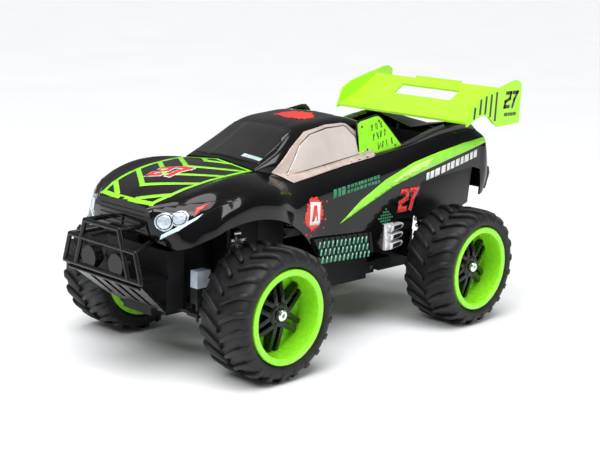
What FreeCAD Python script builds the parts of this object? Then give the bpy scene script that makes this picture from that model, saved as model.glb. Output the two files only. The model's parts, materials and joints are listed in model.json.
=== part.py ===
"""Remote control off-road truck, 1:10 scale, as an assembly of separate sub-parts.

Millimetres. +Z up, the nose points to -Y, +X is the truck's left side. The origin is on
the ground under the middle of the bounding box.
"""
import FreeCAD
import Part
import math
import os

V = FreeCAD.Vector

# ---- driving dimensions ----
HALF_LENGTH = 242.0          # bumper and wing tips reach this far fore and aft
WHEELBASE = 277.0
FRONT_Y = -135.0             # front axle
REAR_Y = FRONT_Y + WHEELBASE
WHEEL_R = 60.0
TYRE_OUT = 127.0             # outer face of the tyre, from the middle of the truck
TYRE_W = 57.0
TYRE_IN = TYRE_OUT - TYRE_W
SKIN = 2.0                   # wall of the moulded body
CHASSIS_Z = 46.0             # belly of the chassis
RUN = 0.05                   # radial clearance of a running fit
GAP = 0.4                    # clearance between neighbouring parts

# rim and tyre
RIM_R = 42.7
BARREL_R = 39.5
BARREL_BORE = 37.4
WEB_X0, WEB_X1 = 98.0, 101.0
AXLE_R = 3.0
AXLE_END = 115.0
LUGS = 18                    # tread blocks round each side of a tyre

# front suspension
ARM_PIVOT_X, ARM_PIVOT_Z = 24.0, 50.0
ARM_Y0, ARM_Y1 = FRONT_Y - 21.6, FRONT_Y + 21.6
PIN_R = 2.0
KING_X = 62.0
KING_Z0, KING_Z1 = 42.4, 79.6
STEER_ARM = 44.0             # from the kingpin line to the tie bar pin
TIE_X = 56.0
HEAD_Z0 = 65.6               # underside of the steering arm, over the tie bar
TIE_Z0, TIE_Z1 = 54.0, 57.0
TIE_PIN_R = 1.5

# shocks, lower and upper ends
FRONT_SHOCK = (47.0, FRONT_Y + 17.0, 54.0), (36.0, FRONT_Y + 17.0, 116.0)
REAR_SHOCK = (50.0, 152.0, 66.0), (50.0, 124.0, 140.0)
SHOCK_ROD_R = 1.6
SHOCK_BORE_R = 5.6
SHOCK_BODY_R = 7.0
SPRING_R = 8.6
SPRING_WIRE_R = 0.9
SEAT_R = SPRING_R + 1.4
SHOCK_FOOT = 4.0              # the body starts this far above the lower eye
SEAT_FOOT = 6.0

# rear axle
SWING_Y, SWING_Z = 68.0, 56.0
CRADLE = (-31.0, 21.0, 106.0, 160.0, 42.0, 80.0)
TUBE_R, TUBE_X = 6.5, 66.0
GEAR_MODULE = 0.7
GEAR_TEETH, PINION_TEETH = 40, 10
GEAR_X0, GEAR_X1 = 10.0, 15.0
GEAR_DIST = GEAR_MODULE * (GEAR_TEETH + PINION_TEETH) / 2.0 + 0.15
MOTOR_Y = REAR_Y - GEAR_DIST
MOTOR_R = 12.0

os.makedirs("parts", exist_ok=True)


# ---- helpers ----
def box(x0, x1, y0, y1, z0, z1):
    return Part.makeBox(x1 - x0, y1 - y0, z1 - z0, V(x0, y0, z0))


def cyl(x, y, z, direction, radius, length):
    return Part.makeCylinder(radius, length, V(x, y, z), V(*direction))


def along_x(x0, x1, y, z, radius):
    return cyl(x0, y, z, (1, 0, 0), radius, x1 - x0)


def rod(a, b, radius):
    """A round bar from a to b."""
    start, end = V(*a), V(*b)
    return Part.makeCylinder(radius, (end - start).Length, start, end - start)


def mirror(shape):
    """The same piece on the right-hand side."""
    return shape.mirror(V(0, 0, 0), V(1, 0, 0))


def fuse(shapes):
    out = shapes[0]
    for s in shapes[1:]:
        out = out.fuse(s)
    return out.removeSplitter()


def prism(points, direction):
    """A flat polygon of (x, y, z) points, pushed along direction."""
    closed = [V(*p) for p in points] + [V(*points[0])]
    return Part.Face(Part.makePolygon(closed)).extrude(V(*direction))


def side_prism(profile, x0, x1):
    """A (y, z) outline pushed from x0 to x1."""
    return prism([(x0, y, z) for y, z in profile], (x1 - x0, 0, 0))


def front_prism(profile, y0, y1):
    """An (x, z) outline pushed from y0 to y1."""
    return prism([(x, y0, z) for x, z in profile], (0, y1 - y0, 0))


def turned(profile, y, z):
    """A (x, r) outline turned about the axle line through (y, z)."""
    closed = [V(x, y, z + r) for x, r in profile]
    face = Part.Face(Part.makePolygon(closed + [closed[0]]))
    return face.revolve(V(0, y, z), V(1, 0, 0), 360)


def save(name, shape):
    """Writes one sub-part; pieces of one node stay separate solids."""
    solids = []
    for piece in shape if isinstance(shape, list) else [shape]:
        solids += piece.Solids
    bad = [s for s in solids if not s.isValid() or s.Volume <= 0]
    if bad:
        raise SystemExit(name + ": a solid is not valid")
    whole = solids[0] if len(solids) == 1 else Part.makeCompound(solids)
    whole.exportStep("parts/" + name + ".step")
    print("%-24s %2d solid(s) %9.0f mm3" % (name, len(solids), sum(s.Volume for s in solids)))


# ---- body: cross-sections, each the right half from the bottom edge to the middle ----
LOWER = [
    (-216, [(40, 124), (41, 131), (41, 140), (39, 147), (36, 150), (30, 151.5), (0, 153)]),
    (-206, [(64, 117), (65, 124), (62, 135), (56, 147), (48, 152), (38, 155), (0, 158)]),
    (-190, [(79, 115), (80, 122), (79, 137), (72, 152), (58, 161), (41, 161), (0, 164)]),
    (-165, [(82, 115), (83, 128), (83, 146), (77, 160), (62, 170), (43, 168.5), (0, 171)]),
    (-135, [(82, 115), (83, 130), (83, 151), (77, 165), (60, 174), (45, 173), (0, 176)]),
    (-105, [(80, 112), (81, 128), (81, 146), (75, 161), (58, 171), (46.5, 174), (0, 178)]),
    (-78, [(74, 98), (75, 118), (74, 138), (69, 153), (60, 162), (50, 168), (0, 176)]),
    (-50, [(68, 83), (70, 110), (70, 138), (68, 151), (62, 162), (52, 168), (0, 172)]),
    (0, [(66, 80), (70, 108), (70, 142), (68, 158), (61, 169), (54, 173), (0, 174)]),
    (50, [(66, 79), (70, 108), (70, 146), (68, 164), (62, 175), (55, 178), (0, 176)]),
    (92, [(66, 76), (69, 104), (69, 150), (67, 170), (63, 181), (57, 183), (0, 178)]),
    (150, [(66, 100), (68, 128), (68, 164), (67, 176), (64, 190), (58, 197), (0, 182)]),
    (195, [(64, 110), (66, 132), (66, 164), (65, 178), (62, 191), (56, 198), (0, 191)]),
    (212, [(63, 116), (65, 134), (65, 158), (64, 175), (60, 186), (50, 189), (0, 188)]),
    (230, [(62, 122), (64, 136), (64, 152), (63, 166), (58, 175), (48, 176), (0, 176)]),
]
CABIN = [
    (-106, [(46, 160), (46.5, 170), (45, 175), (20, 177.5), (0, 178.5)]),
    (-76, [(51, 160), (51.5, 170), (46, 188), (22, 192.5), (0, 193.5)]),
    (-49, [(54, 160), (54.5, 171), (41, 203), (22, 207), (0, 208)]),
    (-15, [(56, 160), (56.5, 172), (42, 208), (22, 212.5), (0, 213.5)]),
    (28, [(57, 160), (57.5, 176), (43, 208), (22, 211.5), (0, 212.5)]),
    (46, [(57, 160), (57.5, 177), (46, 203), (22, 205), (0, 205.5)]),
    (76, [(57, 160), (57.5, 178), (52, 180), (22, 180.5), (0, 180.5)]),
]


def inset(half, t, drop):
    """The half section moved inwards by t, its bottom edge lowered by drop."""
    out = []
    for i, (x, z) in enumerate(half):
        before, after = half[max(i - 1, 0)], half[min(i + 1, len(half) - 1)]
        dx, dz = after[0] - before[0], after[1] - before[1]
        size = math.hypot(dx, dz)
        out.append((max(x - t * dz / size, 0.0), z + t * dx / size))
    out[-1] = (0.0, half[-1][1] - t)
    out[0] = (out[0][0], half[0][1] - drop)
    return out


def hull_loft(stations, t=0.0, drop=0.0, end=0.0):
    """A body through the stations, t inside them, its ends pulled in by end."""
    wires = []
    for i, (y, half) in enumerate(stations):
        y += end if i == 0 else -end if i == len(stations) - 1 else 0.0
        half = inset(half, t, drop) if t else half
        ring = [(x, z) for x, z in half] + [(-x, z) for x, z in reversed(half[:-1])]
        points = [V(x, y, z) for x, z in ring]
        wires.append(Part.makePolygon(points + [points[0]]))
    return Part.makeLoft(wires, True, True)


FRONT_ARCH = (-139.0, 17.0, 121.5)                      # y, z, radius
REAR_CUT = [(97, 60), (99, 112), (107, 143), (112, 146), (201, 151), (214, 147), (222, 100)]
BED = (-52.0, 52.0, 94.0, 172.0, 152.0, 230.0)
SAIL = [(22, 176), (24, 207.5), (57, 213.5), (62, 211), (91, 181), (91, 176)]
LINER = [(98, 156), (101, 112), (116, 105), (176, 105), (199, 112), (203, 156)]
SAIL_X0, SAIL_LEAN = 57.5, 7.0 / 36.0                   # foot, and lean per mm of height
WINDSCREEN = [(-39, -55), (-45, -101), (45, -101), (39, -55)]
SIDE_GLASS = [(-76, 166), (-40, 196), (-22, 203), (18, 203), (40, 179)]
HEADLIGHT = [(38, 149), (46, 126), (60, 133), (76, 150), (82, 159), (60, 154)]
GRILLE = [(-33, 128), (33, 128), (30, 147), (-30, 147)]


def side_glass_tool():
    return side_prism(SIDE_GLASS, 30, 75)


def headlight_tool():
    return front_prism(HEADLIGHT, -225, -182)


def sail_panel():
    corners = [(SAIL_X0 - (z - 177) * SAIL_LEAN, y, z) for y, z in SAIL]
    return prism(corners, (-2.4, 0, 0))


def body_solids():
    """The outer and inner forms whose difference is the skin."""
    outer = hull_loft(LOWER).fuse(hull_loft(CABIN))
    inner = hull_loft(LOWER, SKIN, 30.0, SKIN).fuse(hull_loft(CABIN, SKIN, 12.0, SKIN))
    return outer, inner


def body_cuts():
    y, z, r = FRONT_ARCH
    arch = cyl(46, y, z, (1, 0, 0), r, 60)
    rear = side_prism(REAR_CUT, 40, 90)
    return [arch, mirror(arch), rear, mirror(rear)]


def build_body():
    outer, inner = body_solids()
    bed_x0, bed_x1, bed_y0, bed_y1, bed_z0, bed_z1 = BED
    bed = box(*BED)
    tray = box(bed_x0 - SKIN, bed_x1 + SKIN, bed_y0 - SKIN, bed_y1 + SKIN, bed_z0 - SKIN, 240)
    skin = outer.cut(inner.cut(tray)).cut(bed)
    for tool in body_cuts():
        skin = skin.cut(tool)
    screen = prism([(x, y, 150) for x, y in WINDSCREEN], (0, 0, 80))
    glass, lamp = side_glass_tool(), headlight_tool()
    grille = front_prism(GRILLE, -225, -210)
    recess = outer.cut(hull_loft(LOWER, 0.6, 30.0, 0.6).fuse(hull_loft(CABIN, 0.6, 12.0, 0.6)))
    patches = {}
    for name, tools in (("windscreen", [screen]), ("side_windows", [glass, mirror(glass)]),
                        ("headlights", [lamp, mirror(lamp)]), ("grille", [grille])):
        patches[name] = [max(skin.common(tool).cut(recess).Solids, key=lambda s: s.Volume)
                         for tool in tools]
        for tool in tools:
            skin = skin.cut(tool)
    sail = sail_panel()
    liner = side_prism(LINER, 60.6, 62.6)
    skin = skin.fuse(sail).fuse(mirror(sail)).fuse(liner).fuse(mirror(liner))
    post_ties = [cyl(x, y, POST_Z, (0, 0, 1), 4, z - POST_Z) for x, y, z in BODY_POSTS]
    posts = fuse([skin] + post_ties)
    for pane in patches["side_windows"]:
        posts = posts.cut(pane)
    save("body_shell", max(posts.Solids, key=lambda s: s.Volume))
    for name, pieces in patches.items():
        save(name, pieces)


BODY_POSTS = [(0, -160, 170), (30, 60, 188.5), (-30, 60, 188.5)]
POST_Z = 140.0


# ---- wing ----
BLADE_LOW = (152.0, 202.0)
BLADE_HIGH = (187.0, 217.5)
FLAP_LOW = (203.0, 227.0)
FLAP_HIGH = (214.0, 236.0)
WING_HALF = 88.0
SLOT_HALF = 39.0
ENDPLATE = [(150, 200), (158, 204), (172, 209.5), (186, 208), (195, 201), (204, 196.5),
            (HALF_LENGTH, 198.5), (HALF_LENGTH, 240), (236, 243.5), (228, 243.5), (172, 229),
            (158, 221)]


def build_wing():
    """Main plane and flap, joined outside the slot, between two endplates."""
    (y0, z0), (y1, z1), (y2, z2), (y3, z3) = BLADE_LOW, BLADE_HIGH, FLAP_LOW, FLAP_HIGH
    plane = side_prism([(y0, z0), (y1, z1), (y1, z1 + 2.2), (y0 + 6, z0 + 5), (y0, z0 + 2.4)],
                       -WING_HALF, WING_HALF)
    flap = side_prism([(y2, z2), (y3, z3 - 2), (y3, z3), (y2, z2 + 2.2)], -WING_HALF, WING_HALF)
    centre = side_prism([(y3 - 2, z3 - 2.6), (y3 + 1, z3 - 1), (y3 + 3, z3 + 2), (y3 + 1, z3 + 2)], -31, 31)
    bridge = side_prism([(y1 - 3, z1 - 1.4), (y2, z2), (y2, z2 + 2.2), (y1 - 3, z1 + 0.9)],
                        SLOT_HALF, WING_HALF)
    save("wing_blade", fuse([plane, flap, centre, bridge, mirror(bridge)]))
    plate = side_prism(ENDPLATE, WING_HALF, WING_HALF + 2.6)
    save("wing_endplate_left", plate)
    save("wing_endplate_right", mirror(plate))
    foot = [(160, 194), (188, 195.5), (180, z0 + 11.6), (164, z0 + 4.9)]
    post = side_prism(foot, 52, 55)
    cutter = hull_loft(LOWER)
    post = max(post.cut(cutter).Solids, key=lambda s: s.Volume)
    save("wing_supports", [post, mirror(post)])


# ---- bumpers ----
BAR_R = 2.2
BAR_Y = -HALF_LENGTH + BAR_R


def build_bumpers():
    bars = []
    top, mid, low = 133.0, 117.0, 92.0
    for side in (1, -1):
        bars += [rod((side * 24, BAR_Y, top), (side * 37, BAR_Y, low), BAR_R),
                 rod((side * 46, BAR_Y, mid), (side * 54, BAR_Y, low), BAR_R),
                 rod((side * 46, BAR_Y, mid), (side * 34, -213, mid + 4), BAR_R),
                 rod((side * 24, BAR_Y, top), (side * 24, -217, top), BAR_R)]
        bars += [Part.makeSphere(BAR_R, V(side * x, BAR_Y, z))
                 for x, z in ((24, top), (37, low), (46, mid), (54, low))]
    bars += [rod((-24, BAR_Y, top), (24, BAR_Y, top), BAR_R),
             rod((-46, BAR_Y, mid), (46, BAR_Y, mid), BAR_R),
             rod((-54, BAR_Y, low), (54, BAR_Y, low), BAR_R)]
    save("bull_bar", fuse(bars))

    lamps = []
    for side in (1, -1):
        x, z = side * 19.0, 101.0
        can = cyl(x, -233, z, (0, -1, 0), 10.0, 7.0).fuse(cyl(x, -229, z, (0, -1, 0), 7.5, 4.0))
        stem = cyl(x, -233, 91.5, (0, 0, 1), 2.5, 6)
        lamps.append(can.fuse(stem).removeSplitter())
    rail = rod((-60, BAR_Y, low), (60, BAR_Y, low), BAR_R + RUN)
    lamps = [lamp.cut(box(-60, 60, -250, -200, 80, 91.2)).cut(rail) for lamp in lamps]
    save("bumper_lamps", lamps)

    thick = 3.0
    y0, z0, y1, z1 = -238.0, 88.0, -202.0, 57.0
    run, fall = y1 - y0, z1 - z0
    size = math.hypot(run, fall)
    ny, nz = fall / size * thick, -run / size * thick
    outline = [(-52, 0.0), (52, 0.0), (40, 1.0), (-40, 1.0)]
    plate = prism([(x, y0 + run * t, z0 + fall * t) for x, t in outline], (0, -ny, -nz))
    for x in (-27.0, -9.0, 9.0, 27.0):
        slot = [(x - 4, 0.22), (x + 4, 0.22), (x + 3, 0.85), (x - 3, 0.85)]
        plate = plate.cut(prism([(u, y0 + run * t + ny, z0 + fall * t + nz) for u, t in slot],
                                (0, -3 * ny, -3 * nz)))
    lip = rod((-50, -238.2, 86.5), (50, -238.2, 86.5), 1.4)
    stay = side_prism([(-236, 89), (-222, 91), (-200, 91), (-200, 88.6), (-234, 86.5)], -44, -36)
    top_shelf = side_prism([(-239.5, 88.2), (-200.2, 88.2), (-200.2, 91.2), (-236, 91.2)], -36, 36)
    pieces = [plate, lip, top_shelf, stay, mirror(stay)]
    skid = fuse(pieces).cut(rod((-60, BAR_Y, low), (60, BAR_Y, low), BAR_R))
    nose = box(-60, 60, NOSE_Y0, -180, 40, 130)
    save("skid_plate", max(skid.cut(nose).Solids, key=lambda s: s.Volume))

    tail = [(229, 150), (236, 147), (HALF_LENGTH - 4, 140), (232, 124), (226, 122), (224, 126)]
    bumper = side_prism([(231, 148), (236, 147), (HALF_LENGTH - 4, 140), (235, 126), (231, 126)],
                        -60, 60)
    hook = side_prism(tail, 56, 61)
    shell = hull_loft(LOWER)
    pieces = [bumper, hook, mirror(hook)]
    save("rear_bumper", max(fuse(pieces).cut(shell).Solids, key=lambda s: s.Volume))


# ---- chassis ----
NOSE_X, NOSE_Y0, NOSE_Y1, NOSE_Z0, NOSE_Z1 = 42.0, -201.9, -183.0, 58.0, 112.0
TUB_X, TUB_Y0, TUB_Y1, TUB_Z1 = 43.0, -76.0, 60.0, 76.0
SPINE_X, SPINE_Z1 = 19.5, 61.0
WALL = 2.0
BATTERY = (-30.0, 30.0, -60.0, 10.0)
SWITCH_X, SWITCH_Y0, SWITCH_Y1 = 36.0, -8.0, 2.0
SWITCH_TRAVEL = 3.0
DOOR_SCREWS = [(0.0, -64.0), (0.0, 14.0)]
BELLY_SCREWS = DOOR_SCREWS + [(12.0, -100.0), (-12.0, -100.0), (12.0, -160.0), (-12.0, -160.0)]
SCREW_R = 1.5
LUGS_X = [(6.0, 12.0), (36.0, 42.0)]


def build_chassis():
    tub = box(-TUB_X, TUB_X, TUB_Y0, TUB_Y1, CHASSIS_Z, TUB_Z1)
    tub = tub.cut(box(-TUB_X + WALL, TUB_X - WALL, TUB_Y0 + WALL, TUB_Y1 - WALL,
                      CHASSIS_Z + WALL, TUB_Z1 + 1))
    spine = box(-SPINE_X, SPINE_X, NOSE_Y1 - 1, TUB_Y0 + 1, CHASSIS_Z, SPINE_Z1)
    spine = spine.cut(box(-SPINE_X + WALL, SPINE_X - WALL, NOSE_Y1 + 1, TUB_Y0 - 1,
                          CHASSIS_Z + WALL, SPINE_Z1 - WALL))
    nose = box(-NOSE_X, NOSE_X, NOSE_Y0, NOSE_Y1, NOSE_Z0, NOSE_Z1)
    nose = nose.cut(box(-NOSE_X + WALL, NOSE_X - WALL, NOSE_Y0 + WALL, NOSE_Y1 - WALL,
                        NOSE_Z0 + WALL, NOSE_Z1 - WALL))
    foot = box(-SPINE_X, SPINE_X, NOSE_Y0 + 1, NOSE_Y1, CHASSIS_Z + 3, NOSE_Z0 + 1)
    parts = [tub, spine, nose, foot]
    for y in (ARM_Y0 - GAP - 4, ARM_Y1 + GAP):
        ear = box(SPINE_X - 1, ARM_PIVOT_X + 4.5, y, y + 4, CHASSIS_Z, 55)
        parts += [ear, mirror(ear)]
    for x0, x1 in LUGS_X:
        lug = box(x0, x1, TUB_Y1 - 1, SWING_Y + 5, SWING_Z - 6, SWING_Z + 6)
        parts += [lug, mirror(lug)]
    for x, y, _ in BODY_POSTS:
        foot_z = SPINE_Z1 - 1 if x == 0 else CHASSIS_Z + 1
        top_y = min(y, TUB_Y1 - 6)
        parts.append(cyl(x, top_y, foot_z, (0, 0, 1), 5, POST_Z - 12 - foot_z))
        parts.append(rod((x, top_y, POST_Z - 14), (x, y, POST_Z - 6), 5))
        parts.append(cyl(x, y, POST_Z - 7, (0, 0, 1), 5, 7))
    frame = fuse(parts)
    x0, x1, y0, y1 = BATTERY
    cuts = [box(x0, x1, y0, y1, CHASSIS_Z - 1, CHASSIS_Z + WALL + 0.5),
            box(SWITCH_X - 2.5, SWITCH_X + 2.5, SWITCH_Y0 - GAP, SWITCH_Y1 + SWITCH_TRAVEL + GAP,
                CHASSIS_Z - 1, CHASSIS_Z + WALL + 0.5),
            box(-30, 30, FRONT_Y - STEER_ARM - 6, FRONT_Y - STEER_ARM + 6, 52.2, 58.8),
            along_x(-50, 50, SWING_Y, SWING_Z, PIN_R)]
    for side in (1, -1):
        cuts.append(cyl(side * ARM_PIVOT_X, ARM_Y0 - 8, ARM_PIVOT_Z, (0, 1, 0), PIN_R, 60))
    cuts += [cyl(x, y, CHASSIS_Z - 1, (0, 0, 1), SCREW_R, 6) for x, y in BELLY_SCREWS]
    for tool in cuts:
        frame = frame.cut(tool)
    save("chassis_tub", frame)

    pins = [cyl(s * ARM_PIVOT_X, ARM_Y0 - 6, ARM_PIVOT_Z, (0, 1, 0), PIN_R, 55.2) for s in (1, -1)]
    pins.append(along_x(-TUB_X, TUB_X, SWING_Y, SWING_Z, PIN_R))
    save("suspension_pins", pins)

    door = box(x0 + GAP, x1 - GAP, y0 + GAP, y1 - GAP, CHASSIS_Z, CHASSIS_Z + WALL)
    ribs = [box(x0 + 4, x1 - 4, y, y + 2, CHASSIS_Z - 0.8, CHASSIS_Z + 0.5)
            for y in range(-52, 4, 8)]
    tabs = [box(-6, 6, min(y, edge), max(y, edge), CHASSIS_Z - 1.5, CHASSIS_Z)
            for y, edge in ((-68.0, y0 + 4), (18.0, y1 - 4))]
    door = fuse([door] + ribs + tabs)
    for x, y in DOOR_SCREWS:
        door = door.cut(cyl(x, y, CHASSIS_Z - 3, (0, 0, 1), SCREW_R, 8))
    save("battery_door", door)
    cells = [along_x(x0 + 3, x1 - 3, y0 + 8 + i * 13.6, CHASSIS_Z + WALL + 7.0, 6.7)
             for i in range(5)]
    save("battery_pack", cells)
    board = box(-26, 24, 16, 46, 62, 63.6)
    chips = [box(-20, -8, 22, 34, 63.6, 66), box(4, 16, 24, 32, 63.6, 65.5),
             box(-4, 2, 36, 44, 63.6, 70)]
    pillars = [box(x, x + 4, y, y + 4, CHASSIS_Z + WALL, 62) for x in (-26, 20) for y in (16, 42)]
    save("receiver_board", fuse([board] + chips + pillars))

    neck = box(SWITCH_X - 2, SWITCH_X + 2, SWITCH_Y0, SWITCH_Y1, CHASSIS_Z - 1.6, CHASSIS_Z + 2.6)
    cap = box(SWITCH_X - 3.6, SWITCH_X + 3.6, SWITCH_Y0 - 2, SWITCH_Y1 + 2,
              CHASSIS_Z + WALL + GAP, CHASSIS_Z + 4.6)
    save("power_switch", fuse([neck, cap]))

    screws = []
    for x, y in BELLY_SCREWS:
        head_z = CHASSIS_Z - (1.5 if (x, y) in DOOR_SCREWS else 0.0)
        head = cyl(x, y, head_z - 1.4, (0, 0, 1), 2.8, 1.4)
        slots = [box(x - 1.6, x + 1.6, y - 0.4, y + 0.4, head_z - 2, head_z - 0.7),
                 box(x - 0.4, x + 0.4, y - 1.6, y + 1.6, head_z - 2, head_z - 0.7)]
        screw = head.fuse(cyl(x, y, head_z, (0, 0, 1), SCREW_R, 4.5))
        screws.append(screw.removeSplitter().cut(slots[0]).cut(slots[1]))
    save("belly_screws", screws)

    servo = box(-12, 12, -104, -82, SPINE_Z1, SPINE_Z1 + 22)
    flange = box(-12, 12, -108, -78, SPINE_Z1 + 14, SPINE_Z1 + 16)
    output = cyl(0, -98, SPINE_Z1 + 21, (0, 0, 1), 5, 3).fuse(cyl(0, -98, SPINE_Z1 + 23, (0, 0, 1), 2, 3))
    save("steering_servo", fuse([servo, flange, output]))

    y = FRONT_SHOCK[0][1] - 15.0
    tower = [(-19.5, SPINE_Z1), (19.5, SPINE_Z1), (30, 90), (42, 104), (42, 122), (-42, 122),
             (-42, 104), (-30, 90)]
    plate = front_prism(tower, y, y + 4)
    plate = plate.cut(front_prism([(-14, 70), (14, 70), (20, 96), (-20, 96)], y - 1, y + 5))
    top_x, top_y, top_z = FRONT_SHOCK[1]
    pegs = [cyl(s * top_x, y + 3, top_z, (0, 1, 0), PIN_R, top_y + 4 - y - 3) for s in (1, -1)]
    brace = box(-10, 10, y - 8, y + 1, SPINE_Z1, SPINE_Z1 + 4)
    save("front_shock_tower", fuse([plate, brace] + pegs))

    side = side_prism([(48, TUB_Z1), (58, TUB_Z1), (92, 108), (130, 120), (130, 146), (116, 146),
                       (84, 122), (60, 100)], 36, 40)
    hub_x, hub_y, hub_z = REAR_SHOCK[1]
    peg = along_x(38, hub_x + 5, hub_y, hub_z, PIN_R)
    bridge = box(-38, 38, 117, 121, 124, 146)
    save("rear_shock_tower", fuse([side, mirror(side), peg, mirror(peg), bridge]))


# ---- shocks and springs ----
def along(ends, s):
    """The point s millimetres up a shock from its lower end."""
    a, b = V(*ends[0]), V(*ends[1])
    return a + (b - a).normalize() * s


def shock_seat(ends):
    """The room a shock's body, its spring seat and its coil take above their mounting."""
    direction = (V(*ends[1]) - V(*ends[0])).normalize()
    sleeve = Part.makeCylinder(SHOCK_BODY_R, 30.0, along(ends, SHOCK_FOOT), direction)
    return sleeve.fuse(Part.makeCylinder(SEAT_R + GAP, 30.0, along(ends, SEAT_FOOT), direction))


def shock_pieces(ends, eye, body_top, rod_tip):
    """Rod with its upper eye, body with its lower eye, and the coil round them."""
    direction = (V(*ends[1]) - V(*ends[0])).normalize()
    length = (V(*ends[1]) - V(*ends[0])).Length
    start = along(ends, SHOCK_FOOT)
    body = Part.makeCylinder(SHOCK_BODY_R, body_top - SHOCK_FOOT, start, direction)
    seat = Part.makeCylinder(SEAT_R, 2.0, along(ends, SEAT_FOOT), direction)
    bore = Part.makeCylinder(SHOCK_BORE_R, body_top, along(ends, 8.0), direction)
    body = body.fuse(seat).removeSplitter().cut(bore)
    stem = Part.makeCylinder(SHOCK_ROD_R, length - rod_tip, along(ends, rod_tip), direction)
    cap = Part.makeCylinder(SEAT_R, 2.0, along(ends, length - 7.0), direction)
    ring = Part.makeCylinder(4.0, 8.0, V(*ends[1]) - V(*eye) * 4.0, V(*eye))
    hole = Part.makeCylinder(PIN_R, 20.0, V(*ends[1]) - V(*eye) * 10.0, V(*eye))
    shaft = fuse([stem, cap, ring]).cut(hole)
    turns = 8
    coil_len = length - 7.0 - 8.0 - 2 * SPRING_WIRE_R - 0.2
    helix = Part.makeHelix(coil_len / turns, coil_len, SPRING_R)
    wire = Part.Wire(helix.Edges)
    tip = wire.Edges[0].valueAt(wire.Edges[0].FirstParameter)
    tangent = wire.Edges[0].tangentAt(wire.Edges[0].FirstParameter)
    section = Part.makePolygon(Part.makeCircle(SPRING_WIRE_R, tip, tangent).discretize(9))
    coil = wire.makePipeShell([section], True, True)
    coil.Placement = FreeCAD.Placement(along(ends, 8.1 + SPRING_WIRE_R),
                                       FreeCAD.Rotation(V(0, 0, 1), direction))
    return body, shaft, coil


def build_shocks():
    for where, ends, eye, top, tip in (("front", FRONT_SHOCK, (0, 1, 0), 24.0, 14.0),
                                       ("rear", REAR_SHOCK, (1, 0, 0), 40.0, 27.0)):
        body, shaft, coil = shock_pieces(ends, eye, top, tip)
        save(where + "_shock_rods", [shaft, mirror(shaft)])
        if where == "rear":
            save("rear_shock_bodies", [body, mirror(body)])
            save("rear_springs", [coil, mirror(coil)])
        else:
            save("front_shock_body_left", body)
            save("front_shock_body_right", mirror(body))
            save("front_spring_left", coil)
            save("front_spring_right", mirror(coil))


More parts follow.
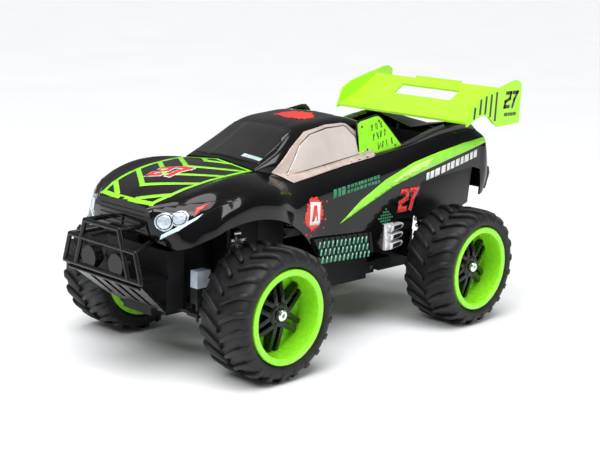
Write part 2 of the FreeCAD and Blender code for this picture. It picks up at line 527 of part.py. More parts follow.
# ---- front suspension and steering ----
def build_front_end():
    z0, z1 = KING_Z0 - GAP, KING_Z1 + GAP
    plate = prism([(ARM_PIVOT_X, ARM_Y0, 46.5), (48, FRONT_Y - 13, 46.5), (52, FRONT_Y - 8, 46.5),
                   (52, FRONT_Y + 22, 46.5), (44, FRONT_Y + 24, 46.5), (30, ARM_Y1, 46.5),
                   (ARM_PIVOT_X, ARM_Y1, 46.5)], (0, 0, 5.5))
    plate = plate.cut(prism([(31, FRONT_Y - 12, 40), (42, FRONT_Y - 8, 40), (42, FRONT_Y + 4, 40),
                             (31, FRONT_Y + 12, 40)], (0, 0, 20)))
    barrel = cyl(ARM_PIVOT_X, ARM_Y0, ARM_PIVOT_Z, (0, 1, 0), 4.4, ARM_Y1 - ARM_Y0)
    wall = box(46, 51, FRONT_Y - 8, FRONT_Y + 8, z0 - 4, z1 + 4)
    jaws = []
    for z in (z0 - 4, z1):
        jaws.append(box(46, KING_X, FRONT_Y - 8, FRONT_Y + 8, z, z + 4))
        jaws.append(cyl(KING_X, FRONT_Y, z, (0, 0, 1), 8, 4))
    low = V(*FRONT_SHOCK[0])
    clevis = cyl(low.x, low.y, 51.5, (0, 0, 1), 6, 6.6)
    arm = fuse([plate, barrel, wall, clevis] + jaws)
    arm = arm.cut(cyl(ARM_PIVOT_X, ARM_Y0 - 1, ARM_PIVOT_Z, (0, 1, 0), PIN_R + RUN, 60))
    arm = arm.cut(cyl(KING_X, FRONT_Y, z0 - 6, (0, 0, 1), PIN_R, z1 - z0 + 12))
    arm = arm.cut(shock_seat(FRONT_SHOCK))
    save("front_left_arm", arm)
    save("front_right_arm", mirror(arm))
    pins = [cyl(KING_X, FRONT_Y, z0 - 4, (0, 0, 1), PIN_R, 13),
            cyl(KING_X, FRONT_Y, z1 - 9, (0, 0, 1), PIN_R, 13)]
    save("kingpins_left", pins)
    save("kingpins_right", [mirror(p) for p in pins])

    core = box(KING_X - 6, KING_X + 6, FRONT_Y - 7, FRONT_Y + 7, KING_Z0, KING_Z1)
    flange = along_x(KING_X, KING_X + 13, FRONT_Y, WHEEL_R, 9.0)
    stub = along_x(KING_X, AXLE_END, FRONT_Y, WHEEL_R, AXLE_R)
    lever = box(KING_X - 7, KING_X, FRONT_Y - STEER_ARM - 3, FRONT_Y - 4, HEAD_Z0, 71)
    outline = [(52, FRONT_Y - 49), (61, FRONT_Y - 49), (61, FRONT_Y - 34), (52, FRONT_Y - 36)]
    head = prism([(x, y, HEAD_Z0) for x, y in outline], (0, 0, 95 - HEAD_Z0))
    pin = cyl(TIE_X, FRONT_Y - STEER_ARM, 48, (0, 0, 1), TIE_PIN_R, 18)
    knuckle = fuse([core, flange, stub, lever, head, pin])
    knuckle = knuckle.cut(cyl(KING_X, FRONT_Y, KING_Z0 - 1, (0, 0, 1), PIN_R + RUN, 10.4))
    knuckle = knuckle.cut(cyl(KING_X, FRONT_Y, KING_Z1 - 9.4, (0, 0, 1), PIN_R + RUN, 10.4))
    knuckle = knuckle.cut(along_x(AXLE_END - 14, AXLE_END + 1, FRONT_Y, WHEEL_R, SCREW_R))
    save("knuckle_left", knuckle)
    save("knuckle_right", mirror(knuckle))

    y = FRONT_Y - STEER_ARM
    bar = box(-TIE_X, TIE_X, y - 3, y + 3, TIE_Z0, TIE_Z1)
    pads = [box(s * TIE_X - 7, s * TIE_X + 7, y - 6, y + 12, TIE_Z0, TIE_Z1) for s in (1, -1)]
    link = fuse([bar] + pads)
    for side in (1, -1):
        link = link.cut(box(side * TIE_X - 3.8, side * TIE_X + 3.8, y - 3, y + 7.5, 50, 60))
    save("steering_link", link)


# ---- rear axle ----
def gear(teeth, radius, thick, phase):
    """A spur gear outline, about the X axis through the origin."""
    step = 2 * math.pi / teeth
    tip_r, root_r = radius + 0.8 * GEAR_MODULE, radius - 1.15 * GEAR_MODULE
    points = []
    for i in range(teeth):
        a = phase + i * step
        for turn, r in ((-0.26, root_r), (-0.10, tip_r), (0.10, tip_r), (0.26, root_r)):
            b = a + turn * step
            points.append((0.0, r * math.cos(b), r * math.sin(b)))
    return prism(points, (thick, 0, 0))


def build_rear_end():
    x0, x1, y0, y1, z0, z1 = CRADLE
    case = box(x0, x1, y0, y1, z0, z1)
    case = case.cut(box(x0 + WALL, x1 - WALL, y0 + WALL, y1 - WALL, z0 + WALL, z1 - WALL))
    bulkhead = box(6, 8, y0 + 1, y1 - 1, z0 + 1, z1 - 1)
    saddle = box(-24, -20, MOTOR_Y - 13, MOTOR_Y + 13, z0 + 1, WHEEL_R - 4)
    pieces = [case, bulkhead, saddle]
    for a, b in ((x1 - 1, TUBE_X), (-TUBE_X, x0 + 1)):
        pieces.append(along_x(a, b, REAR_Y, WHEEL_R, TUBE_R))
    low = V(*REAR_SHOCK[0])
    for side in (1, -1):
        c = side * (LUGS_X[0][1] + LUGS_X[1][0]) / 2.0
        half = (LUGS_X[1][0] - LUGS_X[0][1]) / 2.0 - GAP
        pieces.append(along_x(c - half, c + half, SWING_Y, SWING_Z, 5.4))
        pieces.append(box(c - half, c + half, SWING_Y, y0 + 1, SWING_Z - 5, SWING_Z + 5))
        pieces.append(along_x(side * low.x - 5, side * low.x + 5, low.y, low.z, 5.0))
        pieces.append(box(side * low.x - 5, side * low.x + 5, REAR_Y, low.y, WHEEL_R - 2, low.z + 4))
    housing = fuse(pieces)
    housing = housing.cut(along_x(-TUBE_X - 1, TUBE_X + 1, REAR_Y, WHEEL_R, AXLE_R + RUN))
    housing = housing.cut(along_x(-60, 60, SWING_Y, SWING_Z, PIN_R + RUN))
    housing = housing.cut(along_x(-29, 6, MOTOR_Y, WHEEL_R, MOTOR_R))
    housing = housing.cut(along_x(5, 9, MOTOR_Y, WHEEL_R, 2.4))
    sleeve = shock_seat(REAR_SHOCK)
    housing = housing.cut(sleeve).cut(mirror(sleeve))
    save("rear_axle_housing", housing)

    motor = along_x(-24, 6, MOTOR_Y, WHEEL_R, MOTOR_R)
    motor = motor.fuse(along_x(-28, -24, MOTOR_Y, WHEEL_R, 5))
    save("drive_motor", motor.cut(along_x(0, 7, MOTOR_Y, WHEEL_R, 1.1)))
    pinion = gear(PINION_TEETH, GEAR_MODULE * PINION_TEETH / 2.0, GEAR_X1 - GEAR_X0, math.pi / PINION_TEETH)
    pinion = pinion.translated(V(GEAR_X0, MOTOR_Y, WHEEL_R))
    save("motor_pinion", pinion.fuse(along_x(1, GEAR_X1 + 1, MOTOR_Y, WHEEL_R, 1.0)).removeSplitter())
    wheel = gear(GEAR_TEETH, GEAR_MODULE * GEAR_TEETH / 2.0, GEAR_X1 - GEAR_X0, math.pi)
    wheel = wheel.translated(V(GEAR_X0, REAR_Y, WHEEL_R))
    wheel = wheel.fuse(along_x(GEAR_X0 - 1.5, GEAR_X1 + 3, REAR_Y, WHEEL_R, 6)).removeSplitter()
    save("axle_gear", wheel.cut(along_x(0, 30, REAR_Y, WHEEL_R, AXLE_R)))
    shaft = along_x(-AXLE_END, AXLE_END, REAR_Y, WHEEL_R, AXLE_R)
    for side in (1, -1):
        hole = along_x(AXLE_END - 14, AXLE_END + 1, REAR_Y, WHEEL_R, SCREW_R)
        shaft = shaft.cut(hole if side > 0 else mirror(hole))
    save("rear_axle_shaft", shaft)


# ---- wheels, built about the X axis and then placed ----
def tyre_form():
    a, b = TYRE_IN, TYRE_OUT
    outline = [(a + 5.2, BARREL_R), (a + 5.2, RIM_R), (a, 46), (a, 53), (a + 2.5, 57.7),
               (a + 7, WHEEL_R), (b - 7, WHEEL_R), (b - 2.5, 57.7), (b, 53), (b, 46),
               (b - 5.7, RIM_R), (b - 5.7, BARREL_R), (b - 10, BARREL_R), (b - 10, 44),
               (b - 5, 48), (b - 5, 52), (b - 9, 55.3), (a + 9, 55.3), (a + 5, 52), (a + 5, 48),
               (a + 10, 44), (a + 10, BARREL_R)]
    tyre = turned(outline, 0, 0)
    mid = (a + b) / 2.0
    grooves = []
    for i in range(LUGS):
        for side in (1, -1):
            groove = box(2, 34, -2.0, 2.0, 57.0, 62.0)
            groove.rotate(V(0, 0, 0), V(0, 0, 1), 32 if side > 0 else 180 - 32)
            groove.translate(V(mid, 0, 0))
            groove.rotate(V(0, 0, 0), V(1, 0, 0), 360.0 / LUGS * (i + (0.5 if side < 0 else 0)))
            grooves.append(groove)
    return tyre.cut(Part.makeCompound(grooves))


def rim_form():
    a, b = TYRE_IN + 1, TYRE_OUT - 0.6
    outline = [(a, BARREL_BORE), (a, RIM_R), (a + 4.2, RIM_R), (a + 4.2, BARREL_R),
               (b - 5.1, BARREL_R), (b - 5.1, RIM_R), (b, RIM_R), (b, BARREL_BORE + 1.6),
               (b - 3, BARREL_BORE), (WEB_X1, BARREL_BORE), (WEB_X1, AXLE_R + RUN),
               (WEB_X0 - 12, AXLE_R + RUN), (WEB_X0 - 12, 8), (WEB_X0, 9), (WEB_X0, BARREL_BORE)]
    rim = turned(outline, 0, 0)
    for i in range(6):
        hole = along_x(WEB_X0 - 1, WEB_X1 + 1, 0, 24, 6)
        hole.rotate(V(0, 0, 0), V(1, 0, 0), 60 * i + 30)
        rim = rim.cut(hole)
    return rim


def spokes_form():
    cup = turned([(WEB_X1, 5.8), (WEB_X1, 12), (114, 10.5), (114, 5.8)], 0, 0)
    ring = turned([(WEB_X1, 34.5), (WEB_X1, BARREL_BORE), (112, BARREL_BORE), (112, 35.5)], 0, 0)
    spokes = []
    for i in range(6):
        for lean in (-11, 11):
            bar = prism([(WEB_X1, -1.7, 10), (114, -1.7, 10), (112, -1.7, 36), (WEB_X1, -1.7, 36)],
                        (0, 3.4, 0))
            bar.rotate(V(0, 0, 0), V(1, 0, 0), 60 * i + lean)
            spokes.append(bar)
    return fuse([cup, ring] + spokes)


def screw_form():
    head = turned([(AXLE_END, 0), (AXLE_END, 5.4), (AXLE_END + 2.6, 5.0), (AXLE_END + 3.6, 3.8),
                   (AXLE_END + 3.6, 0)], 0, 0)
    shank = along_x(AXLE_END - 13, AXLE_END, 0, 0, SCREW_R)
    socket = prism([(AXLE_END + 1.4, 2.2 * math.cos(a), 2.2 * math.sin(a))
                    for a in (i * math.pi / 3 for i in range(6))], (5, 0, 0))
    return head.fuse(shank).removeSplitter().cut(socket)


def build_wheels():
    forms = {"tyre": tyre_form(), "rim": rim_form(), "spokes": spokes_form()}
    screw = screw_form()
    for name, form in forms.items():
        for where, y in (("front", FRONT_Y), ("rear", REAR_Y)):
            left = form.translated(V(0, y, WHEEL_R))
            save(where + "_left_" + name, left)
            save(where + "_right_" + name, mirror(left))
    front = screw.translated(V(0, FRONT_Y, WHEEL_R))
    save("front_left_wheel_screw", front)
    save("front_right_wheel_screw", mirror(front))
    rear = screw.translated(V(0, REAR_Y, WHEEL_R))
    save("rear_wheel_screws", [rear, mirror(rear)])


# ---- side trim ----
STEP = [(-52, 107.5), (30, 103.5), (35, 83), (-38, 87)]
EXHAUST = [(51, 109), (76, 109), (78, 80), (55, 80)]
TIPS = [(60.0, 100.0), (69.0, 88.0)]


def build_trim():
    form = hull_loft(LOWER)
    step = side_prism(STEP, 60, 72.6)
    grooves = [side_prism([(y, 109), (y + 2, 109), (y + 6, 82), (y + 4, 82)], 71.6, 74)
               for y in range(-40, 30, 8)]
    for groove in grooves:
        step = step.cut(groove)
    step = max(step.cut(form).Solids, key=lambda s: s.Volume)
    save("side_steps", [step, mirror(step)])
    block = side_prism(EXHAUST, 60, 72.5)
    for y, z in TIPS:
        block = block.fuse(along_x(66, 76.5, y, z, 5.0))
    for y, z in TIPS:
        block = block.cut(along_x(71, 80, y, z, 3.8))
    block = max(block.removeSplitter().cut(form).Solids, key=lambda s: s.Volume)
    save("exhaust_tips", [block, mirror(block)])


build_body()
build_trim()
build_wing()
build_bumpers()
build_chassis()
build_shocks()
build_front_end()
build_rear_end()
build_wheels()
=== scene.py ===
"""Looks of the remote control off-road truck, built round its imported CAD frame."""
import json
import math

import bmesh
import bpy
import numpy as np
from mathutils import Matrix, Vector
from mathutils.bvhtree import BVHTree


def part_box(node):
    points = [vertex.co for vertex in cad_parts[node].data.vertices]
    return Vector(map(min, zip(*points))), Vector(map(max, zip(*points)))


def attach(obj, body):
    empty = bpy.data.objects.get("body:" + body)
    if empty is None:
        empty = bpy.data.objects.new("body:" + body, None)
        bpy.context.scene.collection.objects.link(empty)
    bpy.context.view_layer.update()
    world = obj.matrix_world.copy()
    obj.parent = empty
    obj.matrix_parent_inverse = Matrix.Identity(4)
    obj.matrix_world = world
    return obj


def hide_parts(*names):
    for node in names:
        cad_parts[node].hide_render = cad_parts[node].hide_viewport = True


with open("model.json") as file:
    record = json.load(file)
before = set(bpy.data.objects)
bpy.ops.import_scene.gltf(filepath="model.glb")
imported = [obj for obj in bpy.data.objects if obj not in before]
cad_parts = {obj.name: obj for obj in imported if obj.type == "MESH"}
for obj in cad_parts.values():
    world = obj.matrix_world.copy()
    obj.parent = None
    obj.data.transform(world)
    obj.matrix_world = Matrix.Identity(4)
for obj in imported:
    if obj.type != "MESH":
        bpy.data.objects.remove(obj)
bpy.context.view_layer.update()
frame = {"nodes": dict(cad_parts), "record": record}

MM = 0.001
nodes = frame["nodes"]


def mm(x, y, z):
    return Vector((x * MM, y * MM, z * MM))


# ---------------------------------------------------------------- camera
LOOK_AT = mm(0, 3.5, 60)
CAM_AZIMUTH, CAM_ELEVATION = math.radians(43.71), math.radians(14.29)
CAM_DISTANCE = 1216 * MM
CAM_ROLL = math.radians(2.305)


def make_camera():
    data = bpy.data.cameras.new("camera")
    data.lens, data.sensor_width = 72.3, 36.0
    data.shift_x, data.shift_y = 0.0043, 0.066
    cam = bpy.data.objects.new("camera", data)
    bpy.context.scene.collection.objects.link(cam)
    flat = math.cos(CAM_ELEVATION)
    offset = Vector((flat * math.sin(CAM_AZIMUTH), -flat * math.cos(CAM_AZIMUTH), math.sin(CAM_ELEVATION)))
    ahead = -offset
    right = ahead.cross(Vector((0, 0, 1))).normalized()
    up = right.cross(ahead)
    side = right * math.cos(CAM_ROLL) + up * math.sin(CAM_ROLL)
    top = up * math.cos(CAM_ROLL) - right * math.sin(CAM_ROLL)
    cam.matrix_world = Matrix.Translation(LOOK_AT + offset * CAM_DISTANCE) @ Matrix(
        (side, top, offset)).transposed().to_4x4()
    bpy.context.scene.camera = cam


make_camera()


# ---------------------------------------------------------------- materials
LIME = (0.30, 0.86, 0.02)
LIME_PALE = (0.62, 0.93, 0.22)
RED = (0.82, 0.03, 0.015)
WHITE = (0.85, 0.86, 0.86)


def principled(name, base, rough, metal=0.0, coat=0.0, mottle=0.08, scale=220.0, bump=0.0,
               bump_scale=1400.0, rough_var=0.08, stretch=(1, 1, 1), **extra):
    """A material whose colour, roughness and height all vary with noise in the row frame."""
    mat = bpy.data.materials.new(name)
    mat.use_nodes = True
    tree = mat.node_tree
    shader = tree.nodes["Principled BSDF"]
    shader.inputs["Metallic"].default_value = metal
    shader.inputs["Coat Weight"].default_value = coat
    shader.inputs["Coat Roughness"].default_value = 0.03
    for socket, value in extra.items():
        shader.inputs[socket.replace("_", " ")].default_value = value
    coords = tree.nodes.new("ShaderNodeTexCoord")
    mapping = tree.nodes.new("ShaderNodeMapping")
    mapping.inputs["Scale"].default_value = stretch
    tree.links.new(coords.outputs["Object"], mapping.inputs["Vector"])

    def noise(size, detail):
        node = tree.nodes.new("ShaderNodeTexNoise")
        node.inputs["Scale"].default_value = size
        node.inputs["Detail"].default_value = detail
        tree.links.new(mapping.outputs["Vector"], node.inputs["Vector"])
        return node

    broad, fine = noise(scale, 4.0), noise(bump_scale, 3.0)
    ramp = tree.nodes.new("ShaderNodeValToRGB")
    ramp.color_ramp.elements[0].position, ramp.color_ramp.elements[1].position = 0.3, 0.7
    ramp.color_ramp.elements[0].color = [c * (1 - mottle) for c in base] + [1]
    ramp.color_ramp.elements[1].color = [min(1, c * (1 + mottle)) for c in base] + [1]
    tree.links.new(broad.outputs["Fac"], ramp.inputs["Fac"])
    tree.links.new(ramp.outputs["Color"], shader.inputs["Base Color"])
    span = tree.nodes.new("ShaderNodeMapRange")
    span.inputs["To Min"].default_value = max(0.02, rough - rough_var)
    span.inputs["To Max"].default_value = min(1.0, rough + rough_var)
    tree.links.new(broad.outputs["Fac"], span.inputs["Value"])
    tree.links.new(span.outputs["Result"], shader.inputs["Roughness"])
    if bump:
        height = tree.nodes.new("ShaderNodeBump")
        height.inputs["Strength"].default_value = bump
        height.inputs["Distance"].default_value = 0.2 * MM
        tree.links.new(fine.outputs["Fac"], height.inputs["Height"])
        tree.links.new(height.outputs["Normal"], shader.inputs["Normal"])
    return mat


GLOSS_BLACK = principled("gloss_black", (0.0025, 0.0025, 0.003), 0.13, coat=0.38, bump=0.02, bump_scale=300,
                         Specular_IOR_Level=0.16)
SATIN_BLACK = principled("satin_black", (0.007, 0.007, 0.008), 0.36, bump=0.10, mottle=0.2,
                         Specular_IOR_Level=0.25)
MATT_BLACK = principled("matt_black", (0.008, 0.008, 0.009), 0.55, bump=0.25, mottle=0.25,
                        Specular_IOR_Level=0.25)
MOULDED_BLACK = principled("moulded_black", (0.006, 0.006, 0.007), 0.26, bump=0.06, coat=0.1,
                           Specular_IOR_Level=0.3)
TYRE_BLACK = principled("tyre_black", (0.010, 0.010, 0.011), 0.5, bump=0.35, mottle=0.35, scale=160,
                        bump_scale=900, Specular_IOR_Level=0.32)
TINT = principled("tinted_glass", (0.003, 0.003, 0.004), 0.07, coat=0.7, mottle=0.3, scale=60,
                  rough_var=0.03, Specular_IOR_Level=0.4)
LIME_GLOSS = principled("lime_gloss", LIME, 0.28, mottle=0.05, bump=0.04, coat=0.3)
LIME_WING = principled("lime_wing", (0.42, 0.93, 0.02), 0.30, mottle=0.05, bump=0.04, coat=0.25, scale=40)
LIME_STICKER = principled("lime_sticker", LIME, 0.3, mottle=0.06, coat=0.4, scale=90)
# Pale lime is used only for a painted highlight on the flank swoosh.
PALE_LIME_HIGHLIGHT = principled("pale_lime_painted_highlight", LIME_PALE, 0.3, mottle=0.08, coat=0.4, scale=90)
RED_STICKER = principled("red_sticker", RED, 0.32, mottle=0.1, coat=0.4)
# White: print such as number outlines, flank bars and the badge, and painted highlights on the step dashes.
WHITE_PRINT_AND_GLINTS = principled("white_print_and_glints", WHITE, 0.3, mottle=0.04, coat=0.4)
# Pale blue: print on the windscreen, and a painted highlight along the lower edge of each headlight.
ICE_PRINT_AND_HIGHLIGHT = principled("pale_blue_print_and_highlight", (0.62, 0.80, 0.85), 0.3, mottle=0.08, coat=0.4)
DEEP_GREEN = principled("deep_green_sticker", (0.02, 0.22, 0.09), 0.35, mottle=0.2, coat=0.3)
TEAL_STICKER = principled("teal_sticker", (0.06, 0.42, 0.20), 0.33, mottle=0.25, coat=0.3, scale=400)
BLACK_STICKER = principled("black_sticker", (0.008, 0.008, 0.008), 0.3, mottle=0.2, coat=0.4)
ORANGE_STICKER = principled("orange_sticker", (0.55, 0.16, 0.03), 0.35, mottle=0.25, coat=0.3)
SILVER_FILM = principled("silver_film", (0.62, 0.50, 0.44), 0.24, metal=0.25, mottle=0.1, coat=0.5, scale=50)
GLASS_FILM = principled("window_film", (0.66, 0.58, 0.54), 0.16, metal=0.2, mottle=0.16, coat=0.4, scale=22)
LENS = principled("lamp_lens", (0.58, 0.66, 0.74), 0.12, metal=0.3, coat=1.0, mottle=0.3, scale=500)
CHROME = principled("chrome", (0.83, 0.83, 0.85), 0.10, metal=1.0, mottle=0.05, rough_var=0.05)
BRIGHT_PLATE = principled("bright_plate", (0.80, 0.80, 0.82), 0.22, metal=0.45, mottle=0.12, coat=0.6,
                          scale=90)
STEEL = principled("steel", (0.55, 0.55, 0.57), 0.28, metal=1.0, bump=0.1, stretch=(1, 1, 6))
BRASS = principled("brass", (0.75, 0.55, 0.25), 0.25, metal=1.0, bump=0.05)
KNUCKLE = principled("grey_blue_plastic", (0.42, 0.47, 0.55), 0.38, bump=0.12, mottle=0.1)
GREEN_WRAP = principled("cell_wrap", (0.02, 0.20, 0.07), 0.3, coat=0.5, mottle=0.2)
BOARD = principled("circuit_board", (0.01, 0.14, 0.05), 0.35, mottle=0.6, scale=900, coat=0.4)
GEAR_WHITE = principled("gear_white", (0.78, 0.78, 0.74), 0.4, bump=0.08)



def two_tone(mat, dark, height):
    """Darkens a material below a height of the row frame, as a black moulding under a pale cap."""
    tree = mat.node_tree
    shader = tree.nodes["Principled BSDF"]
    pale = shader.inputs["Base Color"].links[0].from_socket
    coords, split = tree.nodes.new("ShaderNodeTexCoord"), tree.nodes.new("ShaderNodeSeparateXYZ")
    above, mix = tree.nodes.new("ShaderNodeMath"), tree.nodes.new("ShaderNodeMix")
    above.operation = "GREATER_THAN"
    above.inputs[1].default_value = height * MM
    mix.data_type = "RGBA"
    mix.inputs[6].default_value = (*dark, 1)
    tree.links.new(coords.outputs["Object"], split.inputs["Vector"])
    tree.links.new(split.outputs["Z"], above.inputs[0])
    tree.links.new(above.outputs[0], mix.inputs[0])
    tree.links.new(pale, mix.inputs[7])
    tree.links.new(mix.outputs[2], shader.inputs["Base Color"])


KNUCKLE_CAP_Z = 79.8
two_tone(KNUCKLE, (0.01, 0.01, 0.011), KNUCKLE_CAP_Z)

NODE_LOOK = {
    "body_black": GLOSS_BLACK, "tinted_glass": TINT, "window_film": GLASS_FILM,
    "headlight_lens": LENS, "grille_black": SATIN_BLACK, "step_black": SATIN_BLACK,
    "exhaust_chrome": BRIGHT_PLATE, "wing_lime": LIME_WING, "trim_black": MOULDED_BLACK,
    "chassis_black": MATT_BLACK, "knuckle_grey": KNUCKLE, "steel": STEEL, "spring_steel": STEEL,
    "cell_wrap": GREEN_WRAP, "board_green": BOARD, "servo_black": SATIN_BLACK, "motor_can": STEEL,
    "brass": BRASS, "gear_white": GEAR_WHITE, "tyre_rubber": TYRE_BLACK, "rim_lime": LIME_GLOSS,
    "spoke_black": MOULDED_BLACK, "screw_chrome": CHROME,
}


def dress_nodes():
    """Gives each CAD node the material of its slot, with soft shading and crisp edges."""
    for part in frame["record"]["subparts"]:
        mesh = nodes[part["node"]].data
        mesh.materials.clear()
        mesh.materials.append(NODE_LOOK[part["material_slot"]])
        mesh.shade_smooth()
        mesh.set_sharp_from_angle(angle=math.radians(32))


# ---------------------------------------------------------------- mesh helpers
def add_object(name, verts, faces, material, angle=35.0):
    mesh = bpy.data.meshes.new(name)
    mesh.from_pydata([tuple(v) for v in verts], [], faces)
    mesh.validate()
    mesh.materials.append(material)
    obj = bpy.data.objects.new(name, mesh)
    bpy.context.scene.collection.objects.link(obj)
    soften(obj, angle)
    return obj


def soften(obj, angle=35.0):
    bm = bmesh.new()
    bm.from_mesh(obj.data)
    bmesh.ops.remove_doubles(bm, verts=bm.verts, dist=1e-6)
    bmesh.ops.recalc_face_normals(bm, faces=bm.faces)
    bm.to_mesh(obj.data)
    bm.free()
    obj.data.shade_smooth()
    obj.data.set_sharp_from_angle(angle=math.radians(angle))


def apply_modifiers(obj):
    graph = bpy.context.evaluated_depsgraph_get()
    mesh = bpy.data.meshes.new_from_object(obj.evaluated_get(graph))
    obj.modifiers.clear()
    obj.data = mesh


def bevel(obj, width, segments=2, angle=30.0):
    mod = obj.modifiers.new("bevel", "BEVEL")
    mod.width, mod.segments = width * MM, segments
    mod.limit_method, mod.angle_limit = "ANGLE", math.radians(angle)
    mod.harden_normals = False
    apply_modifiers(obj)
    obj.data.shade_smooth()
    obj.data.set_sharp_from_angle(angle=math.radians(50))


def prism(name, outline, place, depth, material, width=0.0):
    """A flat outline placed by place(u, v), pushed by the vector depth."""
    low = [place(u, v) for u, v in outline]
    n = len(low)
    faces = [list(range(n)), [n + i for i in reversed(range(n))]]
    faces += [[i, n + i, n + (i + 1) % n, (i + 1) % n] for i in range(n)]
    obj = add_object(name, low + [p + depth for p in low], faces, material)
    if width:
        bevel(obj, width)
    return obj


def lathe(name, profile, place, material, steps=96, width=0.0):
    """A closed (x, r) profile in mm turned about the axle through place."""
    verts, faces, n = [], [], len(profile)
    for k in range(steps):
        a = 2 * math.pi * k / steps
        verts += [mm(x, place[0] + r * math.cos(a), place[1] + r * math.sin(a)) for x, r in profile]
        m = (k + 1) % steps
        faces += [[k * n + i, k * n + (i + 1) % n, m * n + (i + 1) % n, m * n + i] for i in range(n)]
    obj = add_object(name, verts, faces, material)
    if width:
        bevel(obj, width, 3)
    return obj


def join(name, objects):
    """Several pieces as one, in one mesh."""
    verts, faces, slots, mats = [], [], [], []
    for obj in objects:
        base = len(verts)
        world = obj.matrix_world
        verts += [tuple(world @ v.co) for v in obj.data.vertices]
        mat = obj.data.materials[0]
        if mat not in mats:
            mats.append(mat)
        faces += [[base + i for i in f.vertices] for f in obj.data.polygons]
        slots += [mats.index(mat)] * len(obj.data.polygons)
        bpy.data.objects.remove(obj)
    mesh = bpy.data.meshes.new(name)
    mesh.from_pydata(verts, [], faces)
    for mat in mats:
        mesh.materials.append(mat)
    mesh.polygons.foreach_set("material_index", slots)
    out = bpy.data.objects.new(name, mesh)
    bpy.context.scene.collection.objects.link(out)
    mesh.shade_smooth()
    mesh.set_sharp_from_angle(angle=math.radians(35))
    return out


# ---------------------------------------------------------------- body shell
# Half cross-sections in mm, at each y, from the lower edge over the shoulder to the middle.
LOWER = [
    (-218, [(37, 126), (38.5, 132), (38.5, 140), (37, 146), (34, 149), (28, 151), (0, 152.5)]),
    (-214, [(44, 122), (45, 129), (45, 139), (42, 147), (38, 151), (32, 153), (0, 155)]),
    (-206, [(64, 117), (65, 124), (62, 135), (56, 147), (48, 152), (38, 156), (0, 159)]),
    (-190, [(79, 115), (80, 122), (79, 137), (72, 152), (58, 161), (41, 162), (0, 165)]),
    (-165, [(82, 115), (83, 128), (83, 146), (77, 160), (62, 170), (43, 168), (0, 171)]),
    (-135, [(82, 115), (83, 130), (83, 151), (77, 165), (60, 174), (45, 172), (0, 176)]),
    (-105, [(80, 112), (81, 128), (81, 146), (75, 161), (58, 171), (46.5, 173), (0, 178)]),
    (-78, [(74, 98), (75, 118), (74, 138), (69, 153), (60, 162), (50, 168), (0, 176)]),
    (-50, [(68, 83), (70, 110), (70, 138), (68, 151), (62, 162), (52, 168), (0, 172)]),
    (0, [(66, 80), (70, 108), (70, 142), (68, 158), (61, 169), (54, 173), (0, 174)]),
    (50, [(66, 79), (70, 108), (70, 146), (68, 164), (62, 175), (55, 178), (0, 176)]),
    (92, [(66, 76), (69, 104), (69, 150), (67, 170), (63, 181), (57, 183), (0, 178)]),
    (150, [(66, 100), (68, 128), (68, 164), (67, 176), (64, 190), (58, 197), (0, 182)]),
    (195, [(64, 110), (66, 132), (66, 164), (65, 178), (62, 191), (56, 198), (0, 191)]),
    (212, [(63, 116), (65, 134), (65, 158), (64, 175), (60, 186), (50, 189), (0, 188)]),
    (226, [(62, 121), (64, 136), (64, 153), (63, 168), (59, 178), (48, 179), (0, 179)]),
    (231, [(60, 124), (62, 136), (62, 151), (60, 163), (56, 171), (46, 172), (0, 172)]),
]
CABIN = [
    (-106, [(46, 156), (46.5, 170), (45, 175), (20, 177.5), (0, 178.5)]),
    (-76, [(51, 156), (51.5, 170), (46, 188), (22, 192.5), (0, 193.5)]),
    (-49, [(54, 156), (54.5, 171), (41, 203), (22, 207), (0, 208)]),
    (-15, [(56, 156), (56.5, 172), (42, 208), (22, 212.5), (0, 213.5)]),
    (28, [(57, 156), (57.5, 176), (43, 208), (22, 211.5), (0, 212.5)]),
    (46, [(57, 156), (57.5, 177), (46, 203), (22, 205), (0, 205.5)]),
    (76, [(57, 156), (57.5, 178), (52, 180), (22, 180.5), (0, 180.5)]),
]
SKIN = 1.8


def smooth_line(t, values, at, tight):
    """Hermite interpolation of values at t; tight 1 gives straight runs, 0 a full curve."""
    t, values = np.asarray(t, float), np.asarray(values, float)
    slope = np.gradient(values, t, axis=0)
    out = []
    for a in at:
        i = int(np.clip(np.searchsorted(t, a, side="right") - 1, 0, len(t) - 2))
        h = t[i + 1] - t[i]
        u = (a - t[i]) / h
        chord = (values[i + 1] - values[i]) / h
        m0 = slope[i] * (1 - tight) + chord * tight
        m1 = slope[i + 1] * (1 - tight) + chord * tight
        out.append((2 * u**3 - 3 * u**2 + 1) * values[i] + (u**3 - 2 * u**2 + u) * h * m0
                   + (3 * u**2 - 2 * u**3) * values[i + 1] + (u**3 - u**2) * h * m1)
    return np.array(out)


